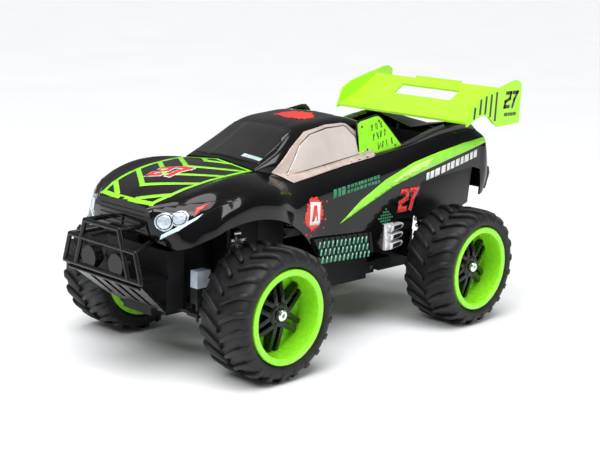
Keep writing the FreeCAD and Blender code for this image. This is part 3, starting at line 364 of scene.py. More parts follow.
def hull(name, stations, along, around, tight, close_ends):
    """A smooth skin through the stations, open at the bottom."""
    ys = [y for y, _ in stations]
    grid = np.array([half for _, half in stations], float)
    rows = np.unique(np.concatenate([np.linspace(ys[0], ys[-1], along), ys]))
    flat = smooth_line(ys, grid.reshape(len(ys), -1), rows, 0.0).reshape(len(rows), -1, 2)
    verts, faces = [], []
    t = np.arange(grid.shape[1], dtype=float)
    fine = np.linspace(0, t[-1], around)
    for y, half in zip(rows, flat):
        line = smooth_line(t, half, fine, tight)
        line[:, 0] = np.maximum(line[:, 0], 0)
        line[-1, 0] = 0.0
        ring = [(x, z) for x, z in line] + [(-x, z) for x, z in line[-2::-1]]
        verts += [mm(x, y, z) for x, z in ring]
    n = 2 * around - 1
    for i in range(len(rows) - 1):
        faces += [[i * n + j, i * n + j + 1, (i + 1) * n + j + 1, (i + 1) * n + j] for j in range(n - 1)]
    if close_ends:
        for base in (0, (len(rows) - 1) * n):
            for j in range(around - 1):
                k = n - 1 - j
                ring = [base + j, base + j + 1, base + k - 1, base + k]
                faces.append(ring if ring[1] != ring[2] else ring[:2] + ring[3:])
    return add_object(name, verts, faces, GLOSS_BLACK, 28)


def surface_tree(obj):
    bm = bmesh.new()
    bm.from_mesh(obj.data)
    tree = BVHTree.FromBMesh(bm)
    bm.free()
    return tree


def trim(obj, keep):
    """Cuts an open skin along keep(place) = 0 and leaves the part where it is positive."""
    bm = bmesh.new()
    bm.from_mesh(obj.data)
    value = {v: keep(v.co / MM) for v in bm.verts}
    crossings = []
    for edge in bm.edges[:]:
        a, b = edge.verts
        if value[a] * value[b] < 0:
            fraction = value[a] / (value[a] - value[b])
            _, new = bmesh.utils.edge_split(edge, a, fraction)
            value[new] = 0.0
            crossings.append(new)
    bmesh.ops.connect_verts(bm, verts=crossings)
    gone = [f for f in bm.faces if keep(f.calc_center_median() / MM) < 0]
    bmesh.ops.delete(bm, geom=gone, context="FACES")
    bm.to_mesh(obj.data)
    bm.free()


def outside_polygon(y, z, outline):
    """Distance from (y, z) to the outline, negative inside it."""
    best, inside = 1e9, False
    for (y0, z0), (y1, z1) in zip(outline, outline[1:] + outline[:1]):
        t = ((y - y0) * (y1 - y0) + (z - z0) * (z1 - z0)) / ((y1 - y0) ** 2 + (z1 - z0) ** 2)
        t = min(1.0, max(0.0, t))
        best = min(best, math.hypot(y - y0 - t * (y1 - y0), z - z0 - t * (z1 - z0)))
        if (z0 > z) != (z1 > z) and y < y0 + (z - z0) * (y1 - y0) / (z1 - z0):
            inside = not inside
    return -best if inside else best


def thicken(obj, depth):
    mod = obj.modifiers.new("skin", "SOLIDIFY")
    mod.thickness, mod.offset = depth * MM, -1.0
    mod.use_even_offset = True
    apply_modifiers(obj)


def side(x):
    """Places a (y, z) outline on the plane at x."""
    return lambda y, z: mm(x, y, z)


ARCH_Y, ARCH_Z, ARCH_R = -139.0, 17.0, 121.5
REAR_CUT = [(97, 60), (99, 112), (107, 143), (112, 146), (201, 151), (214, 147), (222, 100)]
BED_X, BED_Y0, BED_Y1, BED_Z = 52.0, 94.0, 172.0, 152.0
BED_WALL, BED_FRONT_TOP, BED_TOP = 1.6, 176.0, 184.0
HOOD_WALL_X0, HOOD_WALL_X1, HOOD_WALL_TOP = 22.0, 23.5, 148.0
LINER = [(98, 156), (101, 112), (116, 105), (176, 105), (199, 112), (203, 156)]
SAIL = [(22, 176), (24, 207.5), (28, 210), (52, 213.8), (58, 213.5), (63, 210), (91, 181), (91, 176)]
SAIL_FOOT_X, SAIL_FOOT_Z, SAIL_LEAN, SAIL_THICK = 57.5, 177.0, 7.0 / 36.0, 2.2


def keep_hull(p):
    """Positive where the lower hull has skin: not in the wheel arches or the bed."""
    wide = abs(p.x)
    arch = max(46 - wide, math.hypot(p.y - ARCH_Y, p.z - ARCH_Z) - ARCH_R)
    rear = max(40 - wide, outside_polygon(p.y, p.z, REAR_CUT))
    bed = max(wide - BED_X, abs(p.y - (BED_Y0 + BED_Y1) / 2) - (BED_Y1 - BED_Y0) / 2, BED_Z - p.z)
    return min(arch, rear, bed)


def build_body():
    shell = hull("body_hull", LOWER, 190, 56, 0.0, True)
    cabin = hull("body_cabin", CABIN, 90, 40, 0.25, True)
    trees = surface_tree(shell), surface_tree(cabin)
    trim(shell, keep_hull)
    thicken(shell, SKIN)
    thicken(cabin, SKIN)
    body = join("body_shell_skin", [shell, cabin])
    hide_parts("body_shell")
    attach(body, "chassis")
    return trees


def block(name, x0, x1, y0, y1, z0, z1, material, width=0.6):
    """A box with softened edges."""
    corners = [mm(x, y, z) for x in (x0, x1) for y in (y0, y1) for z in (z0, z1)]
    faces = [[0, 1, 3, 2], [4, 6, 7, 5], [0, 4, 5, 1], [2, 3, 7, 6], [0, 2, 6, 4], [1, 5, 7, 3]]
    obj = add_object(name, corners, faces, material)
    bevel(obj, width)
    return obj


def build_body_inside():
    """Bed tray with ribs, wheel-arch liners, walls under the hood and sail panels."""
    tray = [block("tray", -BED_X - 1, BED_X + 1, BED_Y0 - 1, BED_Y1 + 1, BED_Z - 2, BED_Z, SATIN_BLACK)]
    for s in (1, -1):
        x0, x1 = sorted((s * BED_X, s * (BED_X + BED_WALL)))
        tray.append(block("tray", x0, x1, BED_Y0 - 1, BED_Y1 + 1, BED_Z - 2, BED_TOP, SATIN_BLACK))
    for y0, y1, top in ((BED_Y0 - BED_WALL, BED_Y0, BED_FRONT_TOP), (BED_Y1, BED_Y1 + BED_WALL, BED_TOP)):
        tray.append(block("tray", -BED_X - 1, BED_X + 1, y0, y1, BED_Z - 2, top, SATIN_BLACK))
    for i in range(9):
        x = -44 + 11 * i
        tray.append(block("tray", x - 1.6, x + 1.6, BED_Y0 + 4, BED_Y1 - 4, BED_Z - 0.5, BED_Z + 1.2,
                          SATIN_BLACK))
    bed = join("bed_tray", tray)
    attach(bed, "chassis")
    for s, word in ((1, "left"), (-1, "right")):
        liner = prism("arch_liner_" + word, LINER, side(60.6 * s), mm(2 * s, 0, 0), SATIN_BLACK, 0.6)
        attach(liner, "chassis")
        for place, y0, y1, z0 in (("front", -182, -133.4, 61.5), ("middle", -128.6, -77, 61.5),
                                  ("rear", -76.8, -42, 76.6)):
            x0, x1 = sorted((s * HOOD_WALL_X0, s * HOOD_WALL_X1))
            wall = block("hood_wall_%s_%s" % (place, word), x0, x1, y0, y1, z0, HOOD_WALL_TOP,
                         MATT_BLACK, 0.3)
            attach(wall, "chassis")
        panel = prism("sail_panel_" + word, SAIL, sail_plane(s, 0.0), mm(-SAIL_THICK * s, 0, 0),
                      GLOSS_BLACK, 0.7)
        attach(panel, "chassis")


def sail_plane(s, lift):
    """Places a (y, z) outline on the leaning outer face of a sail panel, lift mm off it."""
    return lambda y, z: mm(s * (SAIL_FOOT_X + lift - (z - SAIL_FOOT_Z) * SAIL_LEAN), y, z)


# ---------------------------------------------------------------- stickers
RAY_X, RAY_Y, RAY_Z = 120.0, -300.0, 300.0     # where the films' rays start, outside the truck


class Printer:
    """Lays thin film shapes on the body skins."""

    def __init__(self, trees):
        self.trees = trees

    def hit(self, start, direction):
        best = None
        for tree in self.trees:
            spot, normal, _, far = tree.ray_cast(start, direction)
            if spot is not None and (best is None or far < best[2]):
                best = (spot, normal, far)
        return best

    def lay(self, name, shapes, place, direction, lift, material, step=3.0, slot="body_black"):
        """Each shape is an outline in mm; place(u, v) is where its ray starts."""
        bm = bmesh.new()
        for shape in shapes:
            bm.faces.new([bm.verts.new((u, v, 0)) for u, v in shape])
        bmesh.ops.triangulate(bm, faces=bm.faces)
        for axis in (0, 1):
            low = min(v.co[axis] for v in bm.verts)
            high = max(v.co[axis] for v in bm.verts)
            for k in range(1, int((high - low) / step) + 1):
                cut = [0.0, 0.0, 0.0]
                cut[axis] = low + k * step
                normal = [0.0, 0.0, 0.0]
                normal[axis] = 1.0
                bmesh.ops.bisect_plane(bm, geom=bm.verts[:] + bm.edges[:] + bm.faces[:],
                                       plane_co=cut, plane_no=normal)
        lost = []
        for v in bm.verts:
            found = self.hit(place(v.co.x, v.co.y), direction)
            if found is None:
                lost.append(v)
                continue
            normal = found[1] if found[1].dot(direction) < 0 else -found[1]
            v.co = found[0] + normal * lift * MM
        bmesh.ops.delete(bm, geom=lost, context="VERTS")
        stretched = [f for f in bm.faces if max(e.calc_length() for e in f.edges) > 6 * step * MM]
        bmesh.ops.delete(bm, geom=stretched, context="FACES")
        bmesh.ops.recalc_face_normals(bm, faces=bm.faces)
        if bm.faces and sum(f.normal.dot(direction) for f in bm.faces) > 0:
            bmesh.ops.reverse_faces(bm, faces=bm.faces)
        mesh = bpy.data.meshes.new(name)
        bm.to_mesh(mesh)
        bm.free()
        mesh.materials.append(material)
        obj = bpy.data.objects.new(name, mesh)
        bpy.context.scene.collection.objects.link(obj)
        mod = obj.modifiers.new("film", "SOLIDIFY")
        mod.thickness, mod.offset = 0.1 * MM, -1.0
        apply_modifiers(obj)
        obj.data.shade_smooth()
        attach(obj, "chassis")
        return obj

    def on_side(self, name, shapes, lift, material, step=3.0, slot="body_black", middle=None):
        """(y, z) shapes on both flanks, turned about middle on the right so that they read the same."""
        for s, word in ((1, "left"), (-1, "right")):
            if s < 0 and middle is not None:
                shapes = read_from_right(shapes, middle)
            self.lay(name + "_" + word, shapes, side(RAY_X * s), Vector((-s, 0, 0)), lift, material, step,
                     slot)

    def on_top(self, name, shapes, lift, material, step=3.0, slot="body_black"):
        """(x, y) shapes on the hood or the roof."""
        self.lay(name, shapes, lambda x, y: mm(x, y, RAY_Z), Vector((0, 0, -1)), lift, material, step, slot)

    def on_front(self, name, shapes, lift, material, step=2.0, slot="headlight_lens"):
        """(x, z) shapes on both front corners."""
        for s, word in ((1, "left"), (-1, "right")):
            self.lay(name + "_" + word, [[(x * s, z) for x, z in shape] for shape in shapes],
                     lambda x, z: mm(x, RAY_Y, z), Vector((0, 1, 0)), lift, material, step, slot)


def ribbon(points, width):
    """A line of the given width as one quad per stretch."""
    quads = []
    for (x0, y0), (x1, y1) in zip(points, points[1:]):
        size = math.hypot(x1 - x0, y1 - y0)
        ux, uy = (x1 - x0) / size * width / 2, (y1 - y0) / size * width / 2
        quads.append([(x0 - ux - uy, y0 - uy + ux), (x0 - ux + uy, y0 - uy - ux),
                      (x1 + ux + uy, y1 + uy - ux), (x1 + ux - uy, y1 + uy + ux)])
    return quads


def turned(shapes, angle, at, slant=0.0, scale=1.0):
    """Shapes slanted, scaled, turned by angle degrees and moved to at."""
    c, s = math.cos(math.radians(angle)), math.sin(math.radians(angle))
    out = []
    for shape in shapes:
        moved = []
        for u, v in shape:
            u, v = (u + v * slant) * scale, v * scale
            moved.append((at[0] + u * c - v * s, at[1] + u * s + v * c))
        out.append(moved)
    return out


def read_from_right(shapes, middle):
    return [[(2 * middle - y, z) for y, z in shape] for shape in shapes]


DIGITS = {
    "2": [(-3, 6), (3, 6), (3, 1), (-3, -1.5), (-3, -6), (3, -6)],
    "7": [(-3, 6), (3, 6), (0, 0), (-1, -6)],
}


def number(width, pitch=10.0):
    """The race number 27 as ribbons, about 16 wide and 12 tall, centred."""
    shapes = []
    for i, digit in enumerate("27"):
        shift = (i - 0.5) * pitch
        shapes += ribbon([(u + shift, v) for u, v in DIGITS[digit]], width)
    return shapes


def circle(x, y, r, steps=28):
    return [(x + r * math.cos(2 * math.pi * i / steps), y + r * math.sin(2 * math.pi * i / steps))
            for i in range(steps)]


def burst(x, y, radii, seed):
    """A paint splash: a blob with uneven drops round its edge."""
    rng = np.random.default_rng(seed)
    points = []
    steps = 44
    for i in range(steps):
        a = 2 * math.pi * i / steps
        k = 1.0 + (0.25 * rng.random() if i % 2 else -0.12 * rng.random())
        points.append((x + radii[0] * k * math.cos(a), y + radii[1] * k * math.sin(a)))
    return points


def dashes(count, length, height, seed, gap=0.25):
    """A row of slanted bars of uneven width, in place of lettering, starting at 0."""
    rng = np.random.default_rng(seed)
    widths = 0.7 + 0.6 * rng.random(count)
    widths *= length / widths.sum()
    shapes, u = [], 0.0
    for w in widths:
        inner = w * (1 - gap)
        shapes.append([(u, 0), (u + inner, 0), (u + inner, height), (u, height)])
        u += w
    return shapes


HOOD_EDGE = [(33, -213), (38.5, -197), (42, -175), (44.5, -150), (45.5, -125), (44.5, -110)]
HOOD_REAR = -109.5


def hood_half_width(y):
    xs = [x for x, _ in HOOD_EDGE]
    ys = [v for _, v in HOOD_EDGE]
    return float(np.interp(y, ys, xs))


def print_hood(printer):
    lines = []
    for s in (1, -1):
        lines += ribbon([(x * s, y) for x, y in HOOD_EDGE], 4.0)
    for apex in (-222.0, -196.0, -170.5, -146.0, -122.0):
        for s in (1, -1):
            arm = [(s * t, apex + 0.68 * t) for t in np.linspace(0, 46, 24)]
            arm = [(x, y) for x, y in arm if abs(x) < hood_half_width(y) and -213 < y < HOOD_REAR]
            if len(arm) > 1:
                lines += ribbon([arm[0], arm[-1]], 4.6)
    lines += ribbon([(-43, HOOD_REAR), (43, HOOD_REAR)], 3.0)
    lines += ribbon([(-34, -212.5), (-18, -215), (0, -216), (18, -215), (34, -212.5)], 4.4)
    printer.on_top("hood_chevrons", lines, 0.20, LIME_STICKER)
    at = (-3, -163)
    printer.on_top("hood_number_edge", turned(number(4.4), 20, at, 0.1, 1.75), 0.34, WHITE_PRINT_AND_GLINTS, 2.5)
    printer.on_top("hood_number", turned(number(3.0), 20, at, 0.1, 1.75), 0.48, RED_STICKER, 2.5)
    printer.on_top("roof_splash", [burst(6, -14, (19, 15), 5)], 0.2, RED_STICKER)


def print_sides(printer):
    upper = [(-14.4, 116.9), (14, 136), (50, 152.6), (95, 165.5), (135, 172.6), (180, 178.5), (226, 181.5)]
    lower = [(226, 176), (196, 171), (155, 164), (115, 156.2), (63, 145), (19, 129.5)]
    printer.on_side("flank_swoosh", [upper + lower], 0.2, LIME_STICKER)
    # A paler streak along the shoulder crease of the swoosh: a painted highlight.
    sheen_streak = [(62, 149.2), (95, 162), (128, 168), (118, 160), (90, 154), (66, 148)]
    printer.on_side("flank_swoosh_painted_highlight", [sheen_streak], 0.32, PALE_LIME_HIGHLIGHT)
    at = (88, 129)
    printer.on_side("flank_number_edge", turned(number(4.4), 0, at, 0.2, 1.5), 0.2, BLACK_STICKER,
                    middle=at[0])
    printer.on_side("flank_number", turned(number(3.2), 0, at, 0.2, 1.5), 0.34, RED_STICKER, middle=at[0])
    printer.on_side("flank_bars", turned(dashes(11, 93, 7.5, 3), 10.5, (116, 145), 0.25), 0.2, WHITE_PRINT_AND_GLINTS)
    printer.on_side("flank_dashes_large", turned(dashes(3, 18, 8, 4), 7, (-24, 142.5), 0.2), 0.2, DEEP_GREEN)
    for k in (0, 1):
        row = turned(dashes(10, 48, 3.2, 6 + k), 7, (-5, 145 + 4.6 * k), 0.2)
        printer.on_side("flank_dashes_small_%d" % k, row, 0.2, DEEP_GREEN)
    printer.on_side("flank_splash", [burst(-50, 131, (12.5, 14.5), 2)], 0.2, RED_STICKER)
    badge = [(-57, 121), (-42, 120), (-41.5, 141), (-56, 143)]
    printer.on_side("flank_badge", [badge], 0.34, WHITE_PRINT_AND_GLINTS)
    mark = [(-54, 124), (-50.5, 124), (-47.5, 130), (-46, 124), (-44.5, 124), (-47, 139), (-51, 139)]
    printer.on_side("flank_badge_mark", [mark], 0.48, RED_STICKER)
    drips = [circle(y, z, r, 10) for y, z, r in ((-66, 126, 1.0), (-34, 124, 1.2), (-36, 116, 0.9),
                                                 (-61, 113, 1.3), (-54, 111, 1.0), (-33, 141, 1.0))]
    printer.on_side("flank_drips", drips, 0.2, RED_STICKER)
    emblem = []
    for i in range(-3, 4):
        for j in range(-3, 4):
            if abs(i) + abs(j) <= 3:
                y, z = 53.5 + 3.4 * i, 114.5 + 2.9 * j
                emblem.append([(y - 1.1, z - 0.9), (y + 1.1, z - 0.9), (y + 0.4, z + 0.9), (y - 1.8, z + 0.9)])
    printer.on_side("flank_emblem", emblem, 0.2, DEEP_GREEN)


WINDOW = [(-88, 170.5), (-79, 165.5), (-70, 160.5), (-20, 168), (40, 175.5), (46, 178), (36, 192),
          (16, 207), (10, 208), (-12, 207.5), (-40, 203), (-62, 190)]
GLASS = [(-72, 166.5), (-20, 173.5), (30, 179.8), (35, 181), (33, 184), (14, 204), (11, 205), (-12, 204),
         (-34, 200), (-50, 191.5), (-64, 176)]


def grown(outline, amount):
    """An outline moved away from its middle by about amount mm."""
    cx = sum(u for u, _ in outline) / len(outline)
    cy = sum(v for _, v in outline) / len(outline)
    out = []
    for u, v in outline:
        far = math.hypot(u - cx, v - cy)
        out.append((u + (u - cx) / far * amount, v + (v - cy) / far * amount))
    return out


def print_glass(printer):
    printer.on_side("window_border", [WINDOW], 0.75, SILVER_FILM, 1.2, "window_film")
    printer.on_side("window_line", [grown(GLASS, 1.2)], 0.87, BLACK_STICKER, 1.2, "window_film")
    printer.on_side("window_glass", [GLASS], 0.98, GLASS_FILM, 1.2, "window_film")
    screen = [(-38.5, -52), (-44, -99), (-20, -102.5), (20, -102.5), (44, -99), (38.5, -52), (20, -50),
              (-20, -50)]
    printer.on_top("windscreen_glass", [screen], 0.3, TINT, 3.0, "tinted_glass")
    edge = [(38.5, -53), (20, -51), (-20, -51), (-38.5, -53)]
    printer.on_top("windscreen_edge", ribbon(edge, 0.7), 0.42, SATIN_BLACK, 3.0, "tinted_glass")
    words = turned(dashes(9, 23, 4.2, 8), 3, (19, -97), 0.2)
    printer.on_top("windscreen_dashes", words, 0.42, ICE_PRINT_AND_HIGHLIGHT, 3.0, "tinted_glass")


def print_lamps(printer):
    frame_shape = [(37.5, 150.5), (45, 124), (61.5, 134), (72, 144), (82, 160.5), (60, 156)]
    printer.on_front("headlight_housing", [frame_shape], 0.2, GLOSS_BLACK)
    # The pale crescent under each headlight housing is a painted highlight on the lower edge of the lamp
    # bulge.
    low = [(45.5, 124.5), (61.5, 134.5), (72, 145), (74, 149.5), (69, 144.5), (58, 136), (47, 129)]
    printer.on_front("headlight_lower_painted_highlight", [low], 0.35, ICE_PRINT_AND_HIGHLIGHT)
    printer.on_front("headlight_red", [[(67.5, 153.5), (73.5, 157.5), (69.5, 147.5)]], 0.35, RED_STICKER)
    for k, (x, z, r) in enumerate(((49, 140.3, 7.8), (60, 144.3, 6.4))):
        printer.on_front("headlight_ring_%d" % k, [circle(x, z, r)], 0.4, LENS)
        printer.on_front("headlight_dark_%d" % k, [circle(x, z, r * 0.84)], 0.55, SATIN_BLACK)
        printer.on_front("headlight_lens_%d" % k, [circle(x, z, r * 0.74)], 0.7, LENS)
    rows = [ribbon([(-31, z), (31, z)], 0.8)[0] for z in (130, 134, 138, 142, 146)]
    printer.lay("grille_mesh", rows, lambda x, z: mm(x, RAY_Y, z), Vector((0, 1, 0)), 0.3, SATIN_BLACK, 3.0,
                "grille_black")


# ---------------------------------------------------------------- wheels
WHEELS = {w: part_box(w + "_tyre") for w in ("front_left", "front_right", "rear_left", "rear_right")}
TYRE_R, TYRE_IN, TYRE_OUT = 60.0, 70.0, 127.0
LUGS = 22


def tyre_parts():
    """The left tyre about the X axis through the origin."""
    a, b = TYRE_IN, TYRE_OUT
    profile = [(a + 5.2, 39.6), (a + 4, 43), (a + 0.8, 45.5), (a + 0.4, 49), (a + 1, 53), (a + 4.5, 55.4),
               (a + 14, 56.2), (b - 14, 56.2), (b - 4.5, 55.4), (b - 1, 53), (b - 0.4, 49), (b - 0.8, 45.5),
               (b - 4.4, 43), (b - 5.7, 39.6)]
    carcass = lathe("carcass", profile, (0, 0), TYRE_BLACK, 110)
    pieces = [carcass]
    middle = (a + b) / 2.0
    path = [(1.0, TYRE_R, 3.4), (9, TYRE_R, 4.2), (17, 59.8, 4.6), (23.5, 58.8, 4.8), (26.6, 56.6, 4.8),
            (28.2, 52.6, 4.0), (28.4, 49.6, 3.2)]
    for i in range(LUGS):
        for s in (1, -1):
            verts, faces = [], []
            start = 2 * math.pi / LUGS * (i + (0.5 if s < 0 else 0.0))
            for k, (u, r, w) in enumerate(path):
                skew = -0.62 * min(u, 20.0)
                if k in (1, 2) and i % 2:
                    w += 0.8
                inner = max(r - 5.2, 46.0) if k < 4 else r - 3.4
                inset = 0.0 if k < 4 else 2.4
                for radius, dx, half in ((r, 0.0, w), (r, 0.0, -w), (inner, -inset, -w * 1.15),
                                         (inner, -inset, w * 1.15)):
                    angle = start + (skew + half / 2.0 * 1.15) / r
                    x = middle + s * (u + dx)
                    verts.append(mm(x, radius * math.cos(angle), radius * math.sin(angle)))
            for k in range(len(path) - 1):
                for j in range(4):
                    faces.append([4 * k + j, 4 * k + (j + 1) % 4, 4 * k + 4 + (j + 1) % 4, 4 * k + 4 + j])
            last = 4 * (len(path) - 1)
            faces += [[0, 1, 2, 3], [last + 3, last + 2, last + 1, last]]
            pieces.append(add_object("lug", verts, faces, TYRE_BLACK, 40))
    return pieces


def build_wheels():
    carcass_and_lugs = join("tyre_form", tyre_parts())
    bevel(carcass_and_lugs, 0.45, 1, 45)
    a, b = TYRE_IN + 1, TYRE_OUT - 0.6
    rim_profile = [(a, 37.4), (a, 42.7), (a + 4.2, 42.7), (a + 4.2, 39.5), (b - 5.1, 39.5), (b - 5.1, 42.7),
                   (b - 0.8, 42.7), (b, 41.8), (b, 37.8), (b - 1.2, 36.6), (b - 6, 36.3), (101, 35.2),
                   (101, 5), (98, 5), (98, 37.4)]
    rim = lathe("rim_form", rim_profile, (0, 0), LIME_GLOSS, 128, 0.35)
    hub = [(101, 5.6), (101, 13.5), (108, 12.8), (113.6, 11), (114.4, 9.4), (114.4, 5.6)]
    spoke_parts = [lathe("hub", hub, (0, 0), MOULDED_BLACK, 48, 0.4)]
    for i in range(6):
        for lean in (-1, 1):
            outline = [(9, 101.2), (36.0, 101.2), (36.0, 106.5), (30, 108.5), (16, 112.6), (9, 113.6)]
            turn = Matrix.Rotation(math.radians(60 * i), 4, "X")
            bar = prism("spoke", outline, lambda r, x, lean=lean: mm(x, lean * 4.3 - 2.3, r),
                        mm(0, 4.6, 0), MOULDED_BLACK, 0.7)
            bar.data.transform(turn)
            spoke_parts.append(bar)
        nut = lathe("nut", [(113.4, 0), (113.4, 1.5), (114.9, 1.3), (114.9, 0)], (0, 8.6), MOULDED_BLACK, 12)
        nut.data.transform(Matrix.Rotation(math.radians(60 * i + 30), 4, "X"))
        spoke_parts.append(nut)
    spokes = join("spokes_form", spoke_parts)
    forms = {"tyre": (carcass_and_lugs, "tyre_rubber"), "rim": (rim, "rim_lime"),
             "spokes": (spokes, "spoke_black")}
    for wheel, (low, high) in WHEELS.items():
        centre = (low + high) / 2
        for word, (form, slot) in forms.items():
            piece = bpy.data.objects.new(wheel + "_" + word + "_visual", form.data.copy())
            bpy.context.scene.collection.objects.link(piece)
            if "right" in wheel:
                piece.data.transform(Matrix.Scale(-1, 4, Vector((1, 0, 0))))
                piece.data.flip_normals()
            piece.data.transform(Matrix.Translation(Vector((0, centre.y, centre.z))))
            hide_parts(wheel + "_" + word)
            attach(piece, "rear_wheels" if "rear" in wheel else wheel + "_wheel")
    for form, _ in forms.values():
        bpy.data.objects.remove(form)


# ---------------------------------------------------------------- wing and step marks
def flat_marks(name, shapes, place, depth, material):
    """Flat film shapes on a flat face, joined into one piece."""
    parts = [prism("mark", shape, place, depth, material) for shape in shapes]
    piece = join(name, parts)
    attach(piece, "chassis")
    return piece


def mark_wing():
    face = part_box("wing_endplate_left")[1].x / MM
    stripes = []
    for y, low, high in ((160.5, 207, 219), (170, 211, 227), (179, 211, 229.5), (188, 207.5, 231),
                         (197, 203, 233)):
        stripes.append([(y - 1.5, low), (y + 1.7, low), (y + 2.4, high), (y - 0.6, high)])
    at = (224, 224)
    digits = turned(number(3.0), 0, at, 0.2, 1.2)
    small = turned(dashes(7, 22, 3.4, 12), 0, (213, 207), 0.2)
    for s, word in ((1, "left"), (-1, "right")):
        if s < 0:
            digits = read_from_right(digits, at[0])
        flat_marks("endplate_marks_" + word, stripes + digits + small, side(s * (face - 0.02)),
                   mm(0.2 * s, 0, 0), BLACK_STICKER)


def mark_steps():
    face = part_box("side_steps")[1].x / MM
    teal, painted_glints = [], []
    for row in range(3):
        for col in range(12):
            z = 104.0 - 7.4 * row
            y = -44.0 + 6.0 * col + 2.4 * row - 0.9
            z -= 0.05 * (y + 48)
            teal.append([(y, z - 6), (y + 2.0, z - 6), (y + 3.0, z), (y + 1.0, z)])
            # Each dash gets a small white mark: a painted highlight.
            painted_glints.append([(y + 1.3, z - 2.2), (y + 2.1, z - 2.2), (y + 2.4, z - 0.4), (y + 1.6, z - 0.4)])
    for s, word in ((1, "left"), (-1, "right")):
        flat_marks("step_dashes_" + word, teal, side(s * (face - 0.02)), mm(0.25 * s, 0, 0), TEAL_STICKER)
        flat_marks("step_glints_" + word, painted_glints, side(s * (face + 0.2)), mm(0.15 * s, 0, 0), WHITE_PRINT_AND_GLINTS)


def build_exhausts():
    """On each flank a plated block with three slanted prongs, one above the other."""
    back = [(51.5, 108.5), (66, 108.5), (64, 80.5), (55.5, 80.5)]
    for s, word in ((1, "left"), (-1, "right")):
        parts = [prism("block", back, side(64 * s), mm(6.5 * s, 0, 0), BRIGHT_PLATE, 0.8)]
        for z in (82.0, 91.0, 100.0):
            prong = [(57, z), (74, z + 2.5), (77, z + 5.5), (75.5, z + 8), (58, z + 6.5)]
            parts.append(prism("prong", prong, side(65 * s), mm(10.5 * s, 0, 0), BRIGHT_PLATE, 1.2))
            # Each prong's opening is a dark film on its end face: painted shade standing for the hollow bore.
            bore_shade = [(y + 0.35 * (67 - y), w + 0.35 * (z + 4.6 - w)) for y, w in prong]
            parts.append(prism("bore_shade", bore_shade, side(75.4 * s), mm(0.3 * s, 0, 0), SATIN_BLACK))
        piece = join("exhaust_prongs_" + word, parts)
        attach(piece, "chassis")
    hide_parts("exhaust_tips")


def mark_bed():
    """Rows of orange bars on the bed floor behind the sail panels."""
    for k, y in enumerate((104, 118)):
        bars = turned(dashes(8, 44, 6.5, 30 + k), 0, (4, y), 0.2)
        flat_marks("bed_dashes_%d" % k, bars, lambda x, v: mm(x, v, BED_Z + 1.3), mm(0, 0, 0.15),
                   ORANGE_STICKER)


def mark_sails():
    film = [(24, 178), (25.5, 206.5), (29, 209), (52, 212.6), (57.5, 212.3), (61.5, 209.3), (89, 181),
            (86, 178)]
    strokes = []
    for row, (y, z, count) in enumerate(((48, 202, 3), (47, 193, 4), (55, 184, 4))):
        rng = np.random.default_rng(20 + row)
        for i in range(count):
            u = y + 6.5 * i - 3
            for _ in range(2):
                d = rng.random(4) * 5 - 1.5
                strokes += ribbon([(u + d[0], z + i * 1.2 - 2.6), (u + d[1] + 1.0, z + i * 1.2 + 2.8)], 0.8)
    rivets = [circle(y, z, 1.2, 12) for y, z in ((31, 204), (36, 182), (78, 183), (57, 208))]
    for s, word in ((1, "left"), (-1, "right")):
        flat_marks("sail_film_" + word, [film], sail_plane(s, 0.02), mm(0.2 * s, 0, 0), LIME_STICKER)
        flat_marks("sail_marks_" + word, strokes + rivets, sail_plane(s, 0.2), mm(0.15 * s, 0, 0),
                   BLACK_STICKER)


# ---------------------------------------------------------------- floor and lights
def build_stage():
    floor = bpy.data.meshes.new("floor")
    floor.from_pydata([(-30, -30, 0), (30, -30, 0), (30, 30, 0), (-30, 30, 0)], [], [[0, 1, 2, 3]])
    floor.materials.append(principled("pale_floor", (0.86, 0.87, 0.88), 0.6, mottle=0.01, scale=4))
    obj = bpy.data.objects.new("floor", floor)
    bpy.context.scene.collection.objects.link(obj)


def area_light(name, place, target, size, power, color=(1, 1, 1)):
    data = bpy.data.lights.new(name, "AREA")
    data.shape, data.size, data.size_y = "RECTANGLE", size[0], size[1]
    data.energy, data.color = power, color
    lamp = bpy.data.objects.new(name, data)
    bpy.context.scene.collection.objects.link(lamp)
    lamp.location = place
    lamp.rotation_euler = (Vector(target) - Vector(place)).to_track_quat("-Z", "Y").to_euler()


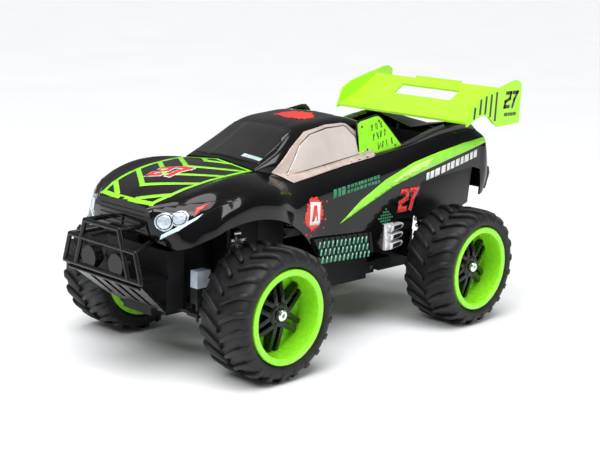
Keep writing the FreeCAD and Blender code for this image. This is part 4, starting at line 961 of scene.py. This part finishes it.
def build_lights():
    """A white studio: bright behind the truck, dimmer towards what its gloss reflects."""
    world = bpy.data.worlds.new("studio")
    world.use_nodes = True
    tree = world.node_tree
    seen = tree.nodes["Background"]
    seen.inputs["Color"].default_value = (1, 1, 1, 1)
    seen.inputs["Strength"].default_value = 1.0
    room = tree.nodes.new("ShaderNodeBackground")
    room.inputs["Strength"].default_value = 0.34
    coords = tree.nodes.new("ShaderNodeTexCoord")
    split = tree.nodes.new("ShaderNodeSeparateXYZ")
    ramp = tree.nodes.new("ShaderNodeValToRGB")
    ramp.color_ramp.elements[0].position, ramp.color_ramp.elements[0].color = 0.0, (0.30, 0.31, 0.33, 1)
    ramp.color_ramp.elements[1].position, ramp.color_ramp.elements[1].color = 0.7, (1, 1, 1, 1)
    path = tree.nodes.new("ShaderNodeLightPath")
    mix = tree.nodes.new("ShaderNodeMixShader")
    tree.links.new(coords.outputs["Generated"], split.inputs["Vector"])
    tree.links.new(split.outputs["Z"], ramp.inputs["Fac"])
    tree.links.new(ramp.outputs["Color"], room.inputs["Color"])
    tree.links.new(path.outputs["Is Camera Ray"], mix.inputs["Fac"])
    tree.links.new(room.outputs["Background"], mix.inputs[1])
    tree.links.new(seen.outputs["Background"], mix.inputs[2])
    tree.links.new(mix.outputs["Shader"], tree.nodes["World Output"].inputs["Surface"])
    bpy.context.scene.world = world
    bpy.context.scene.view_settings.view_transform = "Standard"
    sun = bpy.data.lights.new("sky", "SUN")
    sun.energy, sun.angle = 2.9, math.radians(50)
    lamp = bpy.data.objects.new("sky", sun)
    bpy.context.scene.collection.objects.link(lamp)
    lamp.rotation_euler = (math.radians(12), math.radians(8), 0)
    area_light("front_top", (0.25, -1.1, 1.0), (0, -0.15, 0.15), (0.9, 0.35), 9)
    area_light("flank", (1.2, 0.5, 0.9), (0, 0.08, 0.15), (0.25, 0.9), 5)


dress_nodes()
printer = Printer(build_body())
build_body_inside()
print_hood(printer)
print_sides(printer)
print_glass(printer)
print_lamps(printer)
mark_wing()
mark_steps()
mark_sails()
mark_bed()
build_exhausts()
build_wheels()
build_stage()
build_lights()

for hidden, stand_in in (("side_windows", "window_glass_left"), ("windscreen", "windscreen_glass"),
                         ("headlights", "headlight_lens_0_left"), ("grille", "grille_mesh")):
    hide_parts(hidden)
